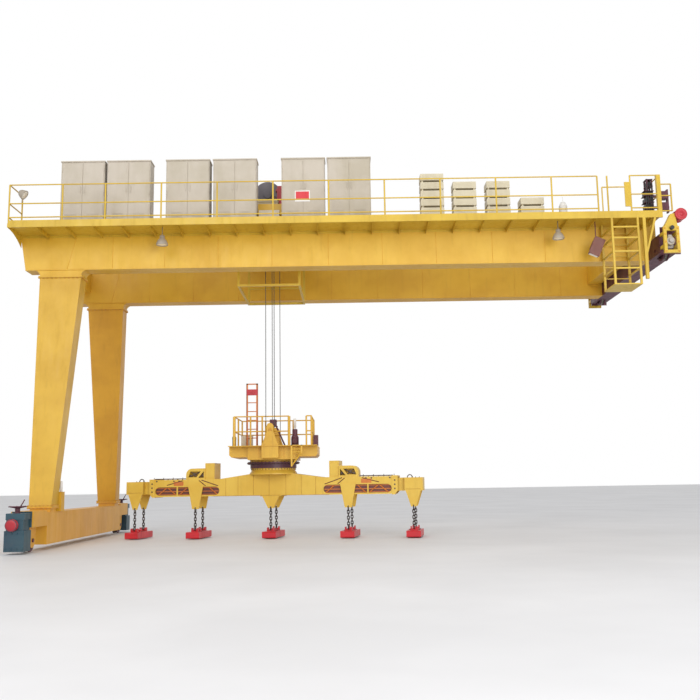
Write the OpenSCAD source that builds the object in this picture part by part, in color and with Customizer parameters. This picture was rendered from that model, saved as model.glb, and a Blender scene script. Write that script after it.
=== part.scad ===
/* [Crane] */
// Distance from the ground rail to the runway rail
span = 15600; // [14000:100:18000]
// Height of the girder underside above the floor
clear_height = 7050; // [6500:50:8000]
// Distance between the two girder centre lines
girder_spacing = 4200; // [3900:50:4600]

/* [Girders] */
// Width of a box girder over its webs
girder_w = 450; // [400:10:520]
// Height of a box girder
girder_h = 1050; // [950:10:1200]
// Overhang of the flange plates beyond the webs
flange_lip = 25; // [15:5:35]
// Thickness of the flange plates
flange_t = 20; // [12:2:30]
// Reach of the lower flange beyond the ground rail
overhang_low = 880; // [800:20:1000]
// Reach of the upper flange beyond the ground rail
overhang_high = 1060; // [1020:20:1200]
// Height of the end ties between the girders
tie_h = 680; // [500:20:800]
// Width of the end ties
tie_w = 380; // [300:10:440]

/* [Legs] */
// Width of a leg at its top joint
leg_top_w = 1070; // [900:10:1200]
// Width of a leg at its foot
leg_foot_w = 540; // [480:10:600]
// Depth of a leg across the travel direction
leg_d = 450; // [400:10:500]
// How far each leg foot stands outside its girder
leg_splay = 770; // [500:10:900]
// Offset of the outer face from the ground rail at the top
leg_top_out = 500; // [400:10:560]
// Height of the flared stub below the girder
stub_h = 170; // [120:10:240]
// Reach of the flare beyond the leg
flare_r = 150; // [80:10:170]
// Thickness of a bolted joint plate
joint_t = 25; // [16:1:40]
// Lip of a bolted joint plate
joint_lip = 30; // [20:5:40]

/* [Ground beam] */
// Height of the joint at the leg foot above the floor
foot_z = 1000; // [950:10:1100]
// Width of the ground beam
beam_w = 520; // [480:10:560]
// Underside of the low part above the floor
beam_z0 = 130; // [100:10:200]
// Upper face of the low part above the floor
beam_z1 = 880; // [800:10:900]
// Length of the low part beyond the middle of each leg foot
foot_room = 430; // [390:10:520]
// Underside of the raised ends above the floor
neck_z0 = 570; // [560:10:620]
// Upper face of the raised ends above the floor
neck_z1 = 930; // [900:10:960]
// Length of each raised end
neck_l = 900; // [850:10:1100]

/* [Travel wheels] */
// Centre of a ground wheel from the end of the beam
ground_wheel_end = 370; // [310:10:400]
// Centre of a runway wheel from the end of the carriage
runway_wheel_end = 370; // [350:10:450]
// Radius of a wheel tread
tread_r = 240; // [200:5:250]
// Height of a wheel flange over the tread
wheel_flange = 20; // [15:1:25]
// Width of a wheel over its flanges
wheel_w = 150; // [130:5:170]
// Radius of a wheel axle
axle_r = 45; // [35:1:60]
// Running gap round an axle
axle_gap = 0.05; // [0.02:0.01:0.1]
// Gap between a wheel and its cheeks
cheek_gap = 15; // [10:1:25]
// Thickness of a wheel cheek
cheek_t = 30; // [20:2:40]

/* [Runway carriage] */
// Width of the runway carriage
carriage_w = 440; // [400:10:460]
// Height of the runway carriage
carriage_h = 480; // [460:10:560]
// Half length of the runway carriage
carriage_half = 3150; // [3100:50:3300]
// Drop of the wheel tread below the carriage
runway_drop = 100; // [80:5:130]

/* [Walkways] */
// Width of the walkways beside the girders
walk_w = 975; // [850:25:1100]
// Walkway floor above the girder underside
walk_z = 950; // [850:10:1000]
// Thickness of the walkway floor
walk_t = 12; // [8:1:20]
// Height of the edge beam along a walkway
edge_h = 100; // [80:5:140]
// Distance between floor brackets
bracket_pitch = 705; // [600:15:800]
// Height of the guard rails
rail_h = 1040; // [1000:10:1100]
// Size of a rail tube
rail_d = 40; // [30:2:50]
// Distance between guard rail posts
rail_bay = 1410; // [1200:10:1500]

/* [Trolley] */
// Trolley centre from the ground rail
trolley_x = 5360; // [5300:20:6500]
// Distance between the trolley rails
trolley_gauge = 3960; // [3700:20:4100]
// Length of the trolley along the girders
trolley_l = 2400; // [2200:50:2800]
// Height of the trolley rails
trolley_rail_h = 90; // [70:5:120]
// Radius of a trolley wheel
trolley_wheel_r = 160; // [140:5:200]
// Radius of the rope drum
drum_r = 260; // [220:10:300]
// Depth of the hanging frame below the girder underside
cage_drop = 260; // [200:10:350]

/* [Hanger] */
// Floor of the hanger platform above the floor
hanger_z = 2480; // [2400:10:2700]
// Width of the hanger platform
hanger_w = 2380; // [2200:20:2600]
// Depth of the hanger platform along the travel direction
hanger_d = 2200; // [2000:20:2400]
// Rope falls from the front and rear edges of the platform
fall_inset = 100; // [95:5:160]
// Distance between the two ropes of a fall
fall_x = 230; // [180:10:260]
// Diameter of a hoist rope
rope_d = 22; // [16:1:26]
// Radius of the slewing ring
slew_r = 680; // [600:10:720]

/* [Magnet beam] */
// Angle of the beam to the girders as it hangs
slew_rest = -9; // [-20:1:20]
// Underside of the beam above the floor
beam_under = 1150; // [1100:10:1300]
// Height of the beam at its middle
beam_mid_h = 600; // [560:10:700]
// Height of the beam at its sleeves
beam_end_h = 470; // [440:10:540]
// Width of the beam
spreader_w = 600; // [560:10:640]
// Inner magnets from the middle of the beam
inner_x = 2140; // [2000:20:2300]
// Outer magnets from the middle of the beam
outer_x = 3900; // [3800:20:4100]
// Mouth of each sleeve from the middle of the beam
sleeve_x = 3490; // [3350:10:3500]
// Wall of the sleeves
sleeve_t = 20; // [12:1:30]
// Room left behind a sliding arm in its sleeve
arm_back = 610; // [600:10:700]

/* [Magnets] */
// Length of a magnet across the beam
magnet_l = 1100; // [900:20:1200]
// Width of a magnet along the beam
magnet_w = 380; // [340:10:420]
// Height of a magnet body
magnet_h = 170; // [140:5:200]
// Gap under the magnets as they hang
magnet_gap = 20; // [10:5:60]
// Wire diameter of a chain link
link_d = 24; // [20:1:28]
// Inner length of a chain link
link_l = 78; // [70:1:90]
// Links in each chain
links = 5; // [4:1:6]

/* [Electrics] */
// Height of the control cabinets
cabinet_h = 1840; // [1600:20:2000]
// Depth of the control cabinets
cabinet_d = 420; // [350:10:450]

/* [Hidden] */

$fn = 48;
seat_gap = 0.3;

// Paint
yellow = "#E3A81C";
deep_yellow = "#D18F1B";
maroon = "#4A1F33";
red = "#D2232C";
beige = "#CFC8BF";
teal = "#3A5C60";
steel = "#5A5856";

// Levels and lines that all pieces share
gx = -span;
gz = -clear_height;
girder_y = girder_spacing / 2;
web_out = girder_y + girder_w / 2;
web_in = girder_y - girder_w / 2;
carriage_x = carriage_w / 2;
girder_end_x = 0;
fall_y = hanger_d - 2 * fall_inset;
foot_y = girder_y + leg_splay;
beam_half = foot_y + foot_room;
neck_half = beam_half + neck_l;
ground_wheel_y = neck_half - ground_wheel_end;
runway_wheel_y = carriage_half - runway_wheel_end;

// A block between two corners
module block(x0, x1, y0, y1, z0, z1) {
    translate([x0, y0, z0]) cube([x1 - x0, y1 - y0, z1 - z0]);
}

// An outline in X and Z, extruded from y0 to y1
module side_plate(points, y0, y1) {
    translate([0, y1, 0]) rotate([90, 0, 0]) linear_extrude(y1 - y0) polygon(points);
}

// An outline in Y and Z, extruded from x0 to x1
module cross_plate(points, x0, x1) {
    translate([x0, 0, 0]) rotate([90, 0, 90]) linear_extrude(x1 - x0) polygon(points);
}

// A round bar along X, along Y or along Z
module bar_x(r, x0, x1, y, z) {
    translate([x0, y, z]) rotate([0, 90, 0]) cylinder(r = r, h = x1 - x0);
}
module bar_y(r, y0, y1, x, z) {
    translate([x, y1, z]) rotate([90, 0, 0]) cylinder(r = r, h = y1 - y0);
}
module bar_z(r, z0, z1, x, y) {
    translate([x, y, z0]) cylinder(r = r, h = z1 - z0);
}

// The points of an arc, in the order of its angles
function arc(cx, cy, r, a0, a1, steps = 6) =
    [for (i = [0 : steps]) let (a = a0 + (a1 - a0) * i / steps) [cx + r * cos(a), cy + r * sin(a)]];

// A straight-sided box with a different rectangle at each end
module prismoid(bottom, top, z0, z1) {
    corners = [
        [bottom[0], bottom[2], z0], [bottom[1], bottom[2], z0],
        [bottom[1], bottom[3], z0], [bottom[0], bottom[3], z0],
        [top[0], top[2], z1], [top[1], top[2], z1],
        [top[1], top[3], z1], [top[0], top[3], z1]
    ];
    polyhedron(corners, [
        [0, 1, 2, 3], [7, 6, 5, 4],
        [0, 4, 5, 1], [1, 5, 6, 2], [2, 6, 7, 3], [3, 7, 4, 0]
    ]);
}

// Puts children on the front side and on the rear side
module both_sides() {
    children();
    mirror([0, 1, 0]) children();
}

// Girders, with the flared stub that takes the leg
girder_profile = [
    [gx - overhang_low, 0],
    [-carriage_x, 0],
    [-carriage_x, carriage_h],
    [girder_end_x, carriage_h],
    [girder_end_x, girder_h],
    [gx - overhang_high, girder_h]
];
leg_in = leg_top_w - leg_top_out;
flare = min(flare_r, stub_h - joint_t);
stub_profile = concat(
    arc(gx - leg_top_out - flare, -flare, flare, 90, 0),
    [[gx - leg_top_out, -stub_h + joint_t], [gx + leg_in, -stub_h + joint_t]],
    arc(gx + leg_in + flare, -flare, flare, 180, 90)
);

module girder() {
    lip = web_in - flange_lip;
    lip_out = web_out + flange_lip;
    side_plate(girder_profile, -web_out, -web_in);
    block(gx - overhang_low, -carriage_x, -lip_out, -lip, 0, flange_t);
    block(gx - overhang_high, girder_end_x, -lip_out, -lip, girder_h - flange_t, girder_h);
    side_plate(stub_profile, -girder_y - leg_d / 2, -girder_y + leg_d / 2);
    joint_plate(-stub_h);
}

// One bolted plate of the leg top joint, its lower face at z
module joint_plate(z) {
    block(gx - leg_top_out - joint_lip, gx + leg_in + joint_lip,
        -girder_y - leg_d / 2 - joint_lip, -girder_y + leg_d / 2 + joint_lip, z, z + joint_t);
}

module front_girder() {
    color(yellow) girder();
}

module rear_girder() {
    color(deep_yellow) mirror([0, 1, 0]) girder();
}

// Box ties that hold the two girders apart
tie_z1 = girder_h - flange_t;
tie_z0 = tie_z1 - tie_h;
tie_gap = 60;

module end_ties() {
    color(deep_yellow) {
        block(gx - overhang_low + tie_gap, gx - overhang_low + tie_gap + tie_w, -web_in, web_in, tie_z0, tie_z1);
        block(-carriage_x - tie_gap - tie_w, -carriage_x - tie_gap, -web_in, web_in, tie_z0, tie_z1);
    }
}

// Trolley rails with their end stops
rail_foot_w = 110;
rail_foot_h = 18;
rail_web_w = 24;
rail_head_w = 52;
rail_head_h = 30;
rail_x0 = gx - 400;
rail_x1 = girder_end_x - 300;
stop_l = 160;
stop_h = 300;
rail_profile = [
    [-rail_foot_w / 2, 0], [rail_foot_w / 2, 0], [rail_foot_w / 2, rail_foot_h],
    [rail_web_w / 2, rail_foot_h + 12], [rail_web_w / 2, trolley_rail_h - rail_head_h - 6],
    [rail_head_w / 2, trolley_rail_h - rail_head_h], [rail_head_w / 2, trolley_rail_h],
    [-rail_head_w / 2, trolley_rail_h], [-rail_head_w / 2, trolley_rail_h - rail_head_h],
    [-rail_web_w / 2, trolley_rail_h - rail_head_h - 6], [-rail_web_w / 2, rail_foot_h + 12],
    [-rail_foot_w / 2, rail_foot_h]
];

module trolley_rail() {
    y = -trolley_gauge / 2;
    cross_plate([for (p = rail_profile) [p[0] + y, p[1] + girder_h]], rail_x0, rail_x1);
    for (end = [[rail_x0, 1], [rail_x1, -1]]) {
        side_plate([
            [end[0], girder_h], [end[0] - end[1] * stop_l, girder_h],
            [end[0] - end[1] * 60, girder_h + stop_h], [end[0], girder_h + stop_h]
        ], y - 50, y + 50);
    }
}

module trolley_rails() {
    color(steel) both_sides() trolley_rail();
}

// Tapered box legs that splay from the girder down to the ground beam
leg_z1 = -stub_h - joint_t;
leg_z0 = gz + foot_z;

module leg() {
    prismoid(
        [gx - leg_foot_w / 2, gx + leg_foot_w / 2, -foot_y - leg_d / 2, -foot_y + leg_d / 2],
        [gx - leg_top_out, gx + leg_in, -girder_y - leg_d / 2, -girder_y + leg_d / 2],
        leg_z0 + joint_t, leg_z1
    );
    joint_plate(leg_z1);
    foot_plate(leg_z0);
}

// One bolted plate of the leg foot joint, its lower face at z
module foot_plate(z) {
    block(gx - leg_foot_w / 2 - joint_lip, gx + leg_foot_w / 2 + joint_lip,
        -foot_y - leg_d / 2 - joint_lip, -foot_y + leg_d / 2 + joint_lip, z, z + joint_t);
}

module front_leg() {
    color(yellow) leg();
}

module rear_leg() {
    color(deep_yellow) mirror([0, 1, 0]) leg();
}

// Ground beam, dropped between the wheels, with a pedestal under each leg
wheel_r = tread_r + wheel_flange;
ground_axle_z = gz + wheel_r;
cheek_x = wheel_w / 2 + cheek_gap;
slope_l = 60;
beam_profile = [
    [-beam_half, gz + beam_z0], [beam_half, gz + beam_z0],
    [beam_half, gz + neck_z0], [neck_half, gz + neck_z0],
    [neck_half, gz + neck_z1], [beam_half + slope_l, gz + neck_z1],
    [beam_half, gz + beam_z1], [-beam_half, gz + beam_z1],
    [-beam_half - slope_l, gz + neck_z1], [-neck_half, gz + neck_z1],
    [-neck_half, gz + neck_z0], [-beam_half, gz + neck_z0]
];
cheek_half = 210;
cheek_low = 90;

// One plate that carries an axle, rounded below
module cheek(x0, y, axle_z, top_z, low) {
    difference() {
        cross_plate(concat(
            [[y + cheek_half, top_z], [y - cheek_half, top_z]],
            arc(y, axle_z, low, 180, 360, 10)
        ), x0, x0 + cheek_t);
        bar_x(axle_r + axle_gap, x0 - 1, x0 + cheek_t + 1, y, axle_z);
    }
}

module ground_beam() {
    color(deep_yellow) {
        cross_plate(beam_profile, gx - beam_w / 2, gx + beam_w / 2);
        both_sides() {
            block(gx - leg_foot_w / 2 + 20, gx + leg_foot_w / 2 - 20,
                -foot_y - leg_d / 2 + 10, -foot_y + leg_d / 2 - 10,
                gz + beam_z1, leg_z0 - joint_t);
            foot_plate(leg_z0 - joint_t);
            for (x0 = [gx - cheek_x - cheek_t, gx + cheek_x]) {
                cheek(x0, -ground_wheel_y, ground_axle_z, gz + neck_z0, wheel_r - cheek_low);
            }
        }
    }
}

// A double-flanged travel wheel on its axle, turned about X
axle_over = 25;
wheel_profile = [
    [0, -cheek_x - cheek_t - axle_over], [axle_r, -cheek_x - cheek_t - axle_over],
    [axle_r, -wheel_w / 2 - 8], [axle_r + 45, -wheel_w / 2 - 8],
    [axle_r + 45, -wheel_w / 2 + 30], [tread_r - 60, -wheel_w / 2 + 30],
    [tread_r - 40, -wheel_w / 2], [wheel_r, -wheel_w / 2],
    [wheel_r, -wheel_w / 2 + 22], [tread_r, -wheel_w / 2 + 30],
    [tread_r, wheel_w / 2 - 30], [wheel_r, wheel_w / 2 - 22],
    [wheel_r, wheel_w / 2], [tread_r - 40, wheel_w / 2],
    [tread_r - 60, wheel_w / 2 - 30], [axle_r + 45, wheel_w / 2 - 30],
    [axle_r + 45, wheel_w / 2 + 8], [axle_r, wheel_w / 2 + 8],
    [axle_r, cheek_x + cheek_t + axle_over], [0, cheek_x + cheek_t + axle_over]
];

module travel_wheel(x, y, z) {
    translate([x, y, z]) rotate([0, 90, 0]) rotate_extrude() polygon(wheel_profile);
}

module front_ground_wheel() {
    color(maroon) travel_wheel(gx, -ground_wheel_y, ground_axle_z);
}

module rear_ground_wheel() {
    color(maroon) travel_wheel(gx, ground_wheel_y, ground_axle_z);
}

// Travel drives with rail clamps, bolted to the ends of the ground beam
drive_w = 450;
drive_l = 420;
drive_plate_t = 30;
gear_z0 = gz + 60;
gear_z1 = gz + 520;
motor_z1 = gz + 760;
drive_top = gz + 900;
cap_r = 130;
cap_l = 100;
clamp_r = 200;
clamp_hub_r = 55;
clamp_h = 110;
clamp_x = gx - 20;
post_box_w = 180;
post_box_h = 460;

module ground_drive() {
    y0 = -neck_half - drive_plate_t;
    clamp_y = y0 - drive_l / 2;
    color(teal) {
        block(gx - drive_w / 2, gx + drive_w / 2, y0, -neck_half, gz + neck_z0, gz + neck_z1);
        block(gx - drive_w / 2, gx + drive_w / 2, y0 - drive_l, y0, gear_z0, gear_z1);
        block(gx - drive_w / 2 + 25, gx + drive_w / 2 - 45, y0 - drive_l + 40, y0, gear_z1, motor_z1);
        block(gx - drive_w / 2 + 15, gx + drive_w / 2 - 15, y0 - drive_l + 20, y0, motor_z1, drive_top);
    }
    color(red) bar_y(cap_r, y0 - drive_l - cap_l + 40, y0 - drive_l + 40, gx - 60, motor_z1 - 120);
    color(maroon) {
        bar_z(clamp_hub_r, drive_top, drive_top + clamp_h, clamp_x, clamp_y);
        translate([clamp_x, clamp_y, drive_top + clamp_h]) rotate_extrude() polygon([
            [0, 0], [60, 0], [clamp_r, 30], [clamp_r, 42], [60, 20], [0, 20]
        ]);
    }
}

module ground_drives() {
    both_sides() ground_drive();
    color(deep_yellow) block(gx + 40, gx + 40 + post_box_w, -foot_y + leg_d / 2 + 60, -foot_y + leg_d / 2 + 300,
        gz + beam_z1, gz + beam_z1 + post_box_h);
}

// Runway carriage, a box beam with the two wheels in its pockets
runway_axle_z = tread_r - runway_drop;
pocket = wheel_r + 30;

module runway_carriage() {
    color(yellow) difference() {
        block(-carriage_x, carriage_x, -carriage_half, carriage_half, 0, carriage_h);
        both_sides() {
            block(-cheek_x, cheek_x, -runway_wheel_y - pocket, -runway_wheel_y + pocket,
                -1, runway_axle_z + wheel_r + 20);
            bar_x(axle_r + axle_gap, -carriage_x - 1, carriage_x + 1, -runway_wheel_y, runway_axle_z);
        }
    }
}

module front_runway_wheel() {
    color(maroon) travel_wheel(0, -runway_wheel_y, runway_axle_z);
}

module rear_runway_wheel() {
    color(maroon) travel_wheel(0, runway_wheel_y, runway_axle_z);
}

// Runway drives: a motor in a thick square guard frame on the end of the carriage
guard_x0 = -215;
guard_x1 = 180;
guard_z0 = -80;
guard_z1 = 600;
guard_l = 300;
guard_bar = 75;
guard_top = 110;
motor_x = (guard_x0 + guard_x1) / 2;
motor_r = 105;
motor_z = carriage_h / 2 + 10;
reel_r = 145;
reel_x = guard_x1 + 56;
reel_z = guard_z1 + 295;

module runway_drive() {
    y1 = -carriage_half;
    y0 = y1 - guard_l;
    color(yellow) {
        difference() {
            block(guard_x0, guard_x1, y0, y0 + guard_bar, guard_z0, guard_z1);
            block(guard_x0 + guard_bar, guard_x1 - guard_bar, y0 - 1, y0 + guard_bar + 1,
                guard_z0 + guard_bar, guard_z1 - guard_top);
        }
        for (x = [guard_x0, guard_x1 - guard_bar], z = [guard_bar, carriage_h - guard_bar]) {
            block(x, x + guard_bar, y0 + guard_bar - 1, y1, z, z + guard_bar);
        }
        side_plate([
            [guard_x0 + 30, guard_z1 - 1], [guard_x1 - 30, guard_z1 - 1], [guard_x1 - 60, guard_z1 + 150],
            [reel_x - reel_r + 20, reel_z - 40], [reel_x - reel_r + 20, reel_z + 40],
            [reel_x - reel_r - 100, reel_z + 20], [guard_x0 + 100, guard_z1 + 120]
        ], y0, y0 + 150);
    }
    color(steel) {
        bar_y(motor_r, y0 + guard_bar + 10, y1, motor_x, motor_z);
        bar_y(motor_r / 2, y0 + 20, y0 + guard_bar + 10, motor_x, motor_z);
        block(motor_x - motor_r, motor_x + motor_r, y1 - 90, y1, motor_z - 150, motor_z + 150);
    }
    color(red) bar_y(reel_r, y0 - 60, y0 + 240, reel_x, reel_z);
}

module runway_drives() {
    both_sides() runway_drive();
}

// Rubber buffers on the upper bars of the guard frames
buffer_l = 90;

module buffers() {
    color(maroon) both_sides() {
        bar_y(guard_top / 2 - 5, -carriage_half - guard_l - buffer_l, -carriage_half - guard_l,
            motor_x, guard_z1 - guard_top / 2);
    }
}

// Walkways carried by brackets on the outer webs
walk_over = 1020;
walk_x0 = gx - walk_over;
walk_x1 = -145;
walk_y = -web_out - walk_w;
edge_z = walk_z - 70;
channel_w = 50;
channel_t = 8;
bracket_t = 10;
bracket_deep = 110;
bracket_shallow = 60;
end_deep = 330;

// The curved bracket under the end of a walkway
module end_bracket() {
    under = walk_z - walk_t;
    y_web = -web_out - channel_t;
    y_edge = walk_y + channel_w;
    cross_plate(concat(
        [[y_web, under]],
        [for (i = [0 : 6]) let (t = i / 6) [
            y_web + (y_edge - y_web) * t,
            under - bracket_shallow - (end_deep - bracket_shallow) * pow(1 - t, 2)
        ]],
        [[walk_y + channel_t, under - bracket_shallow], [walk_y + channel_t, under]]
    ), walk_x0, walk_x0 + bracket_t);
}

module walkway() {
    under = walk_z - walk_t;
    end_bracket();
    block(walk_x0, walk_x1, walk_y + channel_t, -web_out, under, walk_z);
    cross_plate([
        [walk_y, edge_z], [walk_y + channel_w, edge_z],
        [walk_y + channel_w, edge_z + channel_t], [walk_y + channel_t, edge_z + channel_t],
        [walk_y + channel_t, edge_z + edge_h - channel_t], [walk_y + channel_w, edge_z + edge_h - channel_t],
        [walk_y + channel_w, edge_z + edge_h], [walk_y, edge_z + edge_h]
    ], walk_x0, walk_x1);
    cross_plate([
        [-web_out, under], [-web_out - 63, under], [-web_out - 63, under - channel_t],
        [-web_out - channel_t, under - channel_t], [-web_out - channel_t, under - 63], [-web_out, under - 63]
    ], walk_x0, -carriage_x);
    for (x = [walk_x0 + bracket_t + bracket_pitch : bracket_pitch : walk_x1 - bracket_t]) {
        cross_plate([
            [-web_out - channel_t, under], [-web_out - channel_t, under - bracket_deep],
            [walk_y + channel_w, under - bracket_shallow], [walk_y + channel_t, under - bracket_shallow],
            [walk_y + channel_t, under]
        ], x, x + bracket_t);
    }
}

module front_walkway() {
    color(yellow) walkway();
}

module rear_walkway() {
    color(deep_yellow) mirror([0, 1, 0]) walkway();
}

// Guard rails on the edge of each walkway, with a gate over the access cage at the front
rail_levels = [190, 550, rail_h];
rail_r = rail_d / 2;
rail_y = walk_y + channel_w / 2;
post_base = edge_z + edge_h;
rail_x_first = walk_x0 + rail_r;
rail_x_last = walk_x1 - rail_r;
first_post = 340;
bay_x0 = gx + first_post + 1080;
gate_x0 = gx + 13860;
gate_x1 = gx + 14690;
hoop_z = walk_z + 743;
corner_w = 100;
landing_x = walk_x1 + 255;
landing_levels = [100, 500, 800];
posts = concat(
    [rail_x_first, gx + first_post],
    [for (x = [bay_x0 : rail_bay : rail_x_last - rail_bay / 2]) x],
    [rail_x_last]
);

module guard_rail(runs) {
    for (x = posts) bar_z(rail_r, post_base, walk_z + rail_h, x, rail_y);
    for (run = runs, h = rail_levels) bar_x(rail_r * 0.8, run[0], run[1], rail_y, walk_z + h);
    for (x = [rail_x_first, rail_x_last]) {
        bar_z(rail_r, walk_z, walk_z + rail_h, x, -web_out - 100);
        for (h = rail_levels) bar_y(rail_r * 0.8, rail_y, -web_out - 100, x, walk_z + h);
    }
    block(walk_x1 - corner_w, walk_x1, walk_y, walk_y + corner_w, post_base, walk_z + rail_h + 10);
    for (h = landing_levels) bar_x(rail_r * 0.8, walk_x1 - 1, landing_x, rail_y, walk_z + h);
    bar_z(rail_r, walk_z + landing_levels[0], walk_z + landing_levels[2], landing_x, rail_y);
}

module front_guard_rail() {
    color(yellow) {
        guard_rail([[rail_x_first, gate_x0], [gate_x1, rail_x_last]]);
        for (x = [gate_x0, gate_x1]) bar_z(rail_r, post_base, walk_z + rail_h, x, rail_y);
        bar_z(rail_r * 0.8, post_base, hoop_z, gate_x0 + 110, rail_y);
        bar_x(rail_r * 0.8, gate_x0 + 110, gate_x1, rail_y, hoop_z);
        block(gate_x1 - 150, gate_x1, rail_y - 12, rail_y + 12, walk_z + 230, walk_z + rail_h - 170);
    }
}

module rear_guard_rail() {
    color(yellow) mirror([0, 1, 0]) guard_rail([[rail_x_first, rail_x_last]]);
}

// Control cabinets in a row on the front walkway
cabinet_w = 1120;
cabinet_starts = [120, 1310, 2840, 4060, 5830, 7020];
cabinet_y1 = -web_out - flange_lip - 10;
plinth_h = 80;
roof_t = 30;

module control_cabinets() {
    color(beige) for (s = cabinet_starts) {
        x0 = gx + s;
        x1 = x0 + cabinet_w;
        y0 = cabinet_y1 - cabinet_d;
        block(x0 + 20, x1 - 20, y0 + 20, cabinet_y1 - 20, walk_z, walk_z + plinth_h);
        block(x0, x1, y0, cabinet_y1, walk_z + plinth_h, walk_z + cabinet_h - roof_t);
        block(x0 - 15, x1 + 15, y0 - 25, cabinet_y1 + 5, walk_z + cabinet_h - roof_t, walk_z + cabinet_h);
        for (door = [x0 + 25, x0 + cabinet_w / 2 + 8]) {
            block(door, door + cabinet_w / 2 - 33, y0 - 14, y0,
                walk_z + plinth_h + 30, walk_z + cabinet_h - roof_t - 30);
        }
    }
    color(beige) block(gx + 5230, gx + 5760, cabinet_y1 - 300, cabinet_y1, walk_z, walk_z + 480);
}

// Resistor boxes stacked in open racks
rack_w = 600;
rack_d = 420;
rack_starts = [9430, 10270, 11140, 12010];
rack_counts = [6, 5, 5, 3];
box_h = 175;
box_pitch = 228;

module resistor_racks() {
    color(beige) for (i = [0 : len(rack_starts) - 1]) {
        x0 = gx + rack_starts[i];
        x1 = x0 + rack_w;
        y0 = cabinet_y1 - rack_d;
        for (n = [0 : rack_counts[i] - 1]) {
            z = walk_z + 40 + n * box_pitch;
            block(x0, x1, y0, cabinet_y1, z, z + box_h);
        }
        for (x = [x0 + 30, x1 - 70], y = [y0 + 30, cabinet_y1 - 70]) {
            block(x, x + 40, y, y + 40, walk_z, walk_z + 40 + rack_counts[i] * box_pitch - 53);
        }
    }
}

// Access cage that hangs below the runway end of the front walkway
access_x0 = gx + 14140;
access_x1 = gx + 14840;
access_y1 = -web_out - 80;
access_z = -800;
access_bar = 50;
access_levels = [-430, 0, 350, 630];
rung_pitch = 300;
tall_x = access_x1 + 100;
tall_w = 75;
tall_z = -690;
brace_run = 285;

module access_cage() {
    y0 = walk_y;
    top = walk_z - walk_t;
    color(yellow) {
        block(access_x0, access_x1, y0, access_y1, access_z - 30, access_z);
        for (x = [access_x0, access_x1 - access_bar]) {
            block(x, x + access_bar, y0, y0 + access_bar, access_z, edge_z);
            block(x, x + access_bar, access_y1 - access_bar, access_y1, access_z, top);
            for (z = access_levels) {
                block(x + 5, x + access_bar - 5, y0, access_y1, z, z + access_bar - 10);
            }
        }
        for (z = access_levels) {
            block(access_x0, access_x1, y0 + 5, y0 + access_bar - 5, z, z + access_bar - 10);
        }
        for (z = [access_z + rung_pitch : rung_pitch : top - rung_pitch / 2]) {
            block(access_x0, access_x1, access_y1 - access_bar + 15, access_y1 - 15, z, z + 20);
        }
        block(tall_x, tall_x + tall_w, y0, y0 + tall_w, tall_z, edge_z);
        side_plate([
            [tall_x + tall_w - 10, -110], [tall_x + tall_w - 10, 60],
            [tall_x + tall_w - 10 + brace_run - 55, edge_z], [tall_x + tall_w - 10 + brace_run, edge_z]
        ], y0 + 10, y0 + 60);
    }
}

// Bell lamps below the walkway, a flood light and a siren above it
lamp_y = walk_y + 400;
lamp_places = [2790, 12900];
lamp_low = 470;
siren_x = gx + 13060;
flood_x = gx + 13865;
flood_z = 247;
flood_w = 280;
flood_h = 400;
spot_x = gx - 820;
spot_z = walk_z + 725;

module bell_lamp(x) {
    stem_h = walk_z - walk_t - lamp_low;
    translate([x, lamp_y, lamp_low]) rotate_extrude() polygon([
        [0, 110], [130, 0], [150, 0], [140, 60], [90, 150], [55, 190], [55, 250], [12, 260], [12, stem_h], [0, stem_h]
    ]);
}

module work_lamps() {
    color(steel) {
        for (s = lamp_places) bell_lamp(gx + s);
        translate([siren_x, cabinet_y1 - 200, walk_z]) rotate_extrude() polygon([
            [0, 0], [110, 0], [110, 40], [60, 60], [60, 200], [100, 230], [100, 520], [60, 600], [0, 600]
        ]);
        translate([flood_x, lamp_y, flood_z]) rotate([0, 38, 0]) {
            block(-flood_w / 2, flood_w / 2, -40, 90, -flood_h / 2, flood_h / 2);
            block(-flood_w / 2 + 50, flood_w / 2 - 50, 90, 140, -flood_h / 2 + 60, flood_h / 2 - 60);
        }
        bar_z(15, flood_z, walk_z - walk_t, flood_x, lamp_y + 40);
        translate([spot_x, rail_y, spot_z]) rotate([0, 125, 0]) rotate_extrude() polygon([
            [0, -80], [60, -80], [95, -30], [125, 60], [125, 80], [115, 80], [90, 0], [0, 0]
        ]);
        bar_z(12, walk_z + rail_levels[1] + rail_r * 0.8 + seat_gap, spot_z, spot_x, rail_y);
    }
}

// Trolley: a welded frame on four wheels that spans the two girders
tx = gx + trolley_x;
rail_top = girder_h + trolley_rail_h;
trolley_axle_z = rail_top + trolley_wheel_r + seat_gap;
frame_z0 = trolley_axle_z + trolley_wheel_r + 30;
frame_h = 300;
frame_z1 = frame_z0 + frame_h;
side_w = 200;
side_y = trolley_gauge / 2;
wheel_x = trolley_l / 2 - 260;
trolley_wheel_w = 100;
trolley_cheek = 25;
cross_w = 180;
cross_x = trolley_l / 2 - 480;
pedestal_y = fall_y / 2 + 330;
pedestal_w = 140;
anchor_w = 70;
trolley_axle_r = 30;

module trolley_side() {
    block(tx - trolley_l / 2, tx + trolley_l / 2, -side_y - side_w / 2, -side_y + side_w / 2, frame_z0, frame_z1);
    for (x = [tx - wheel_x, tx + wheel_x], side = [-1, 1]) {
        y = -side_y + side * (trolley_wheel_w / 2 + 12 + trolley_cheek / 2) - trolley_cheek / 2;
        difference() {
            side_plate([
                [x - 150, frame_z0], [x - 60, trolley_axle_z - 60], [x + 60, trolley_axle_z - 60], [x + 150, frame_z0]
            ], y, y + trolley_cheek);
            bar_y(trolley_axle_r + axle_gap, y - 1, y + trolley_cheek + 1, x, trolley_axle_z);
        }
    }
}

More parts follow.
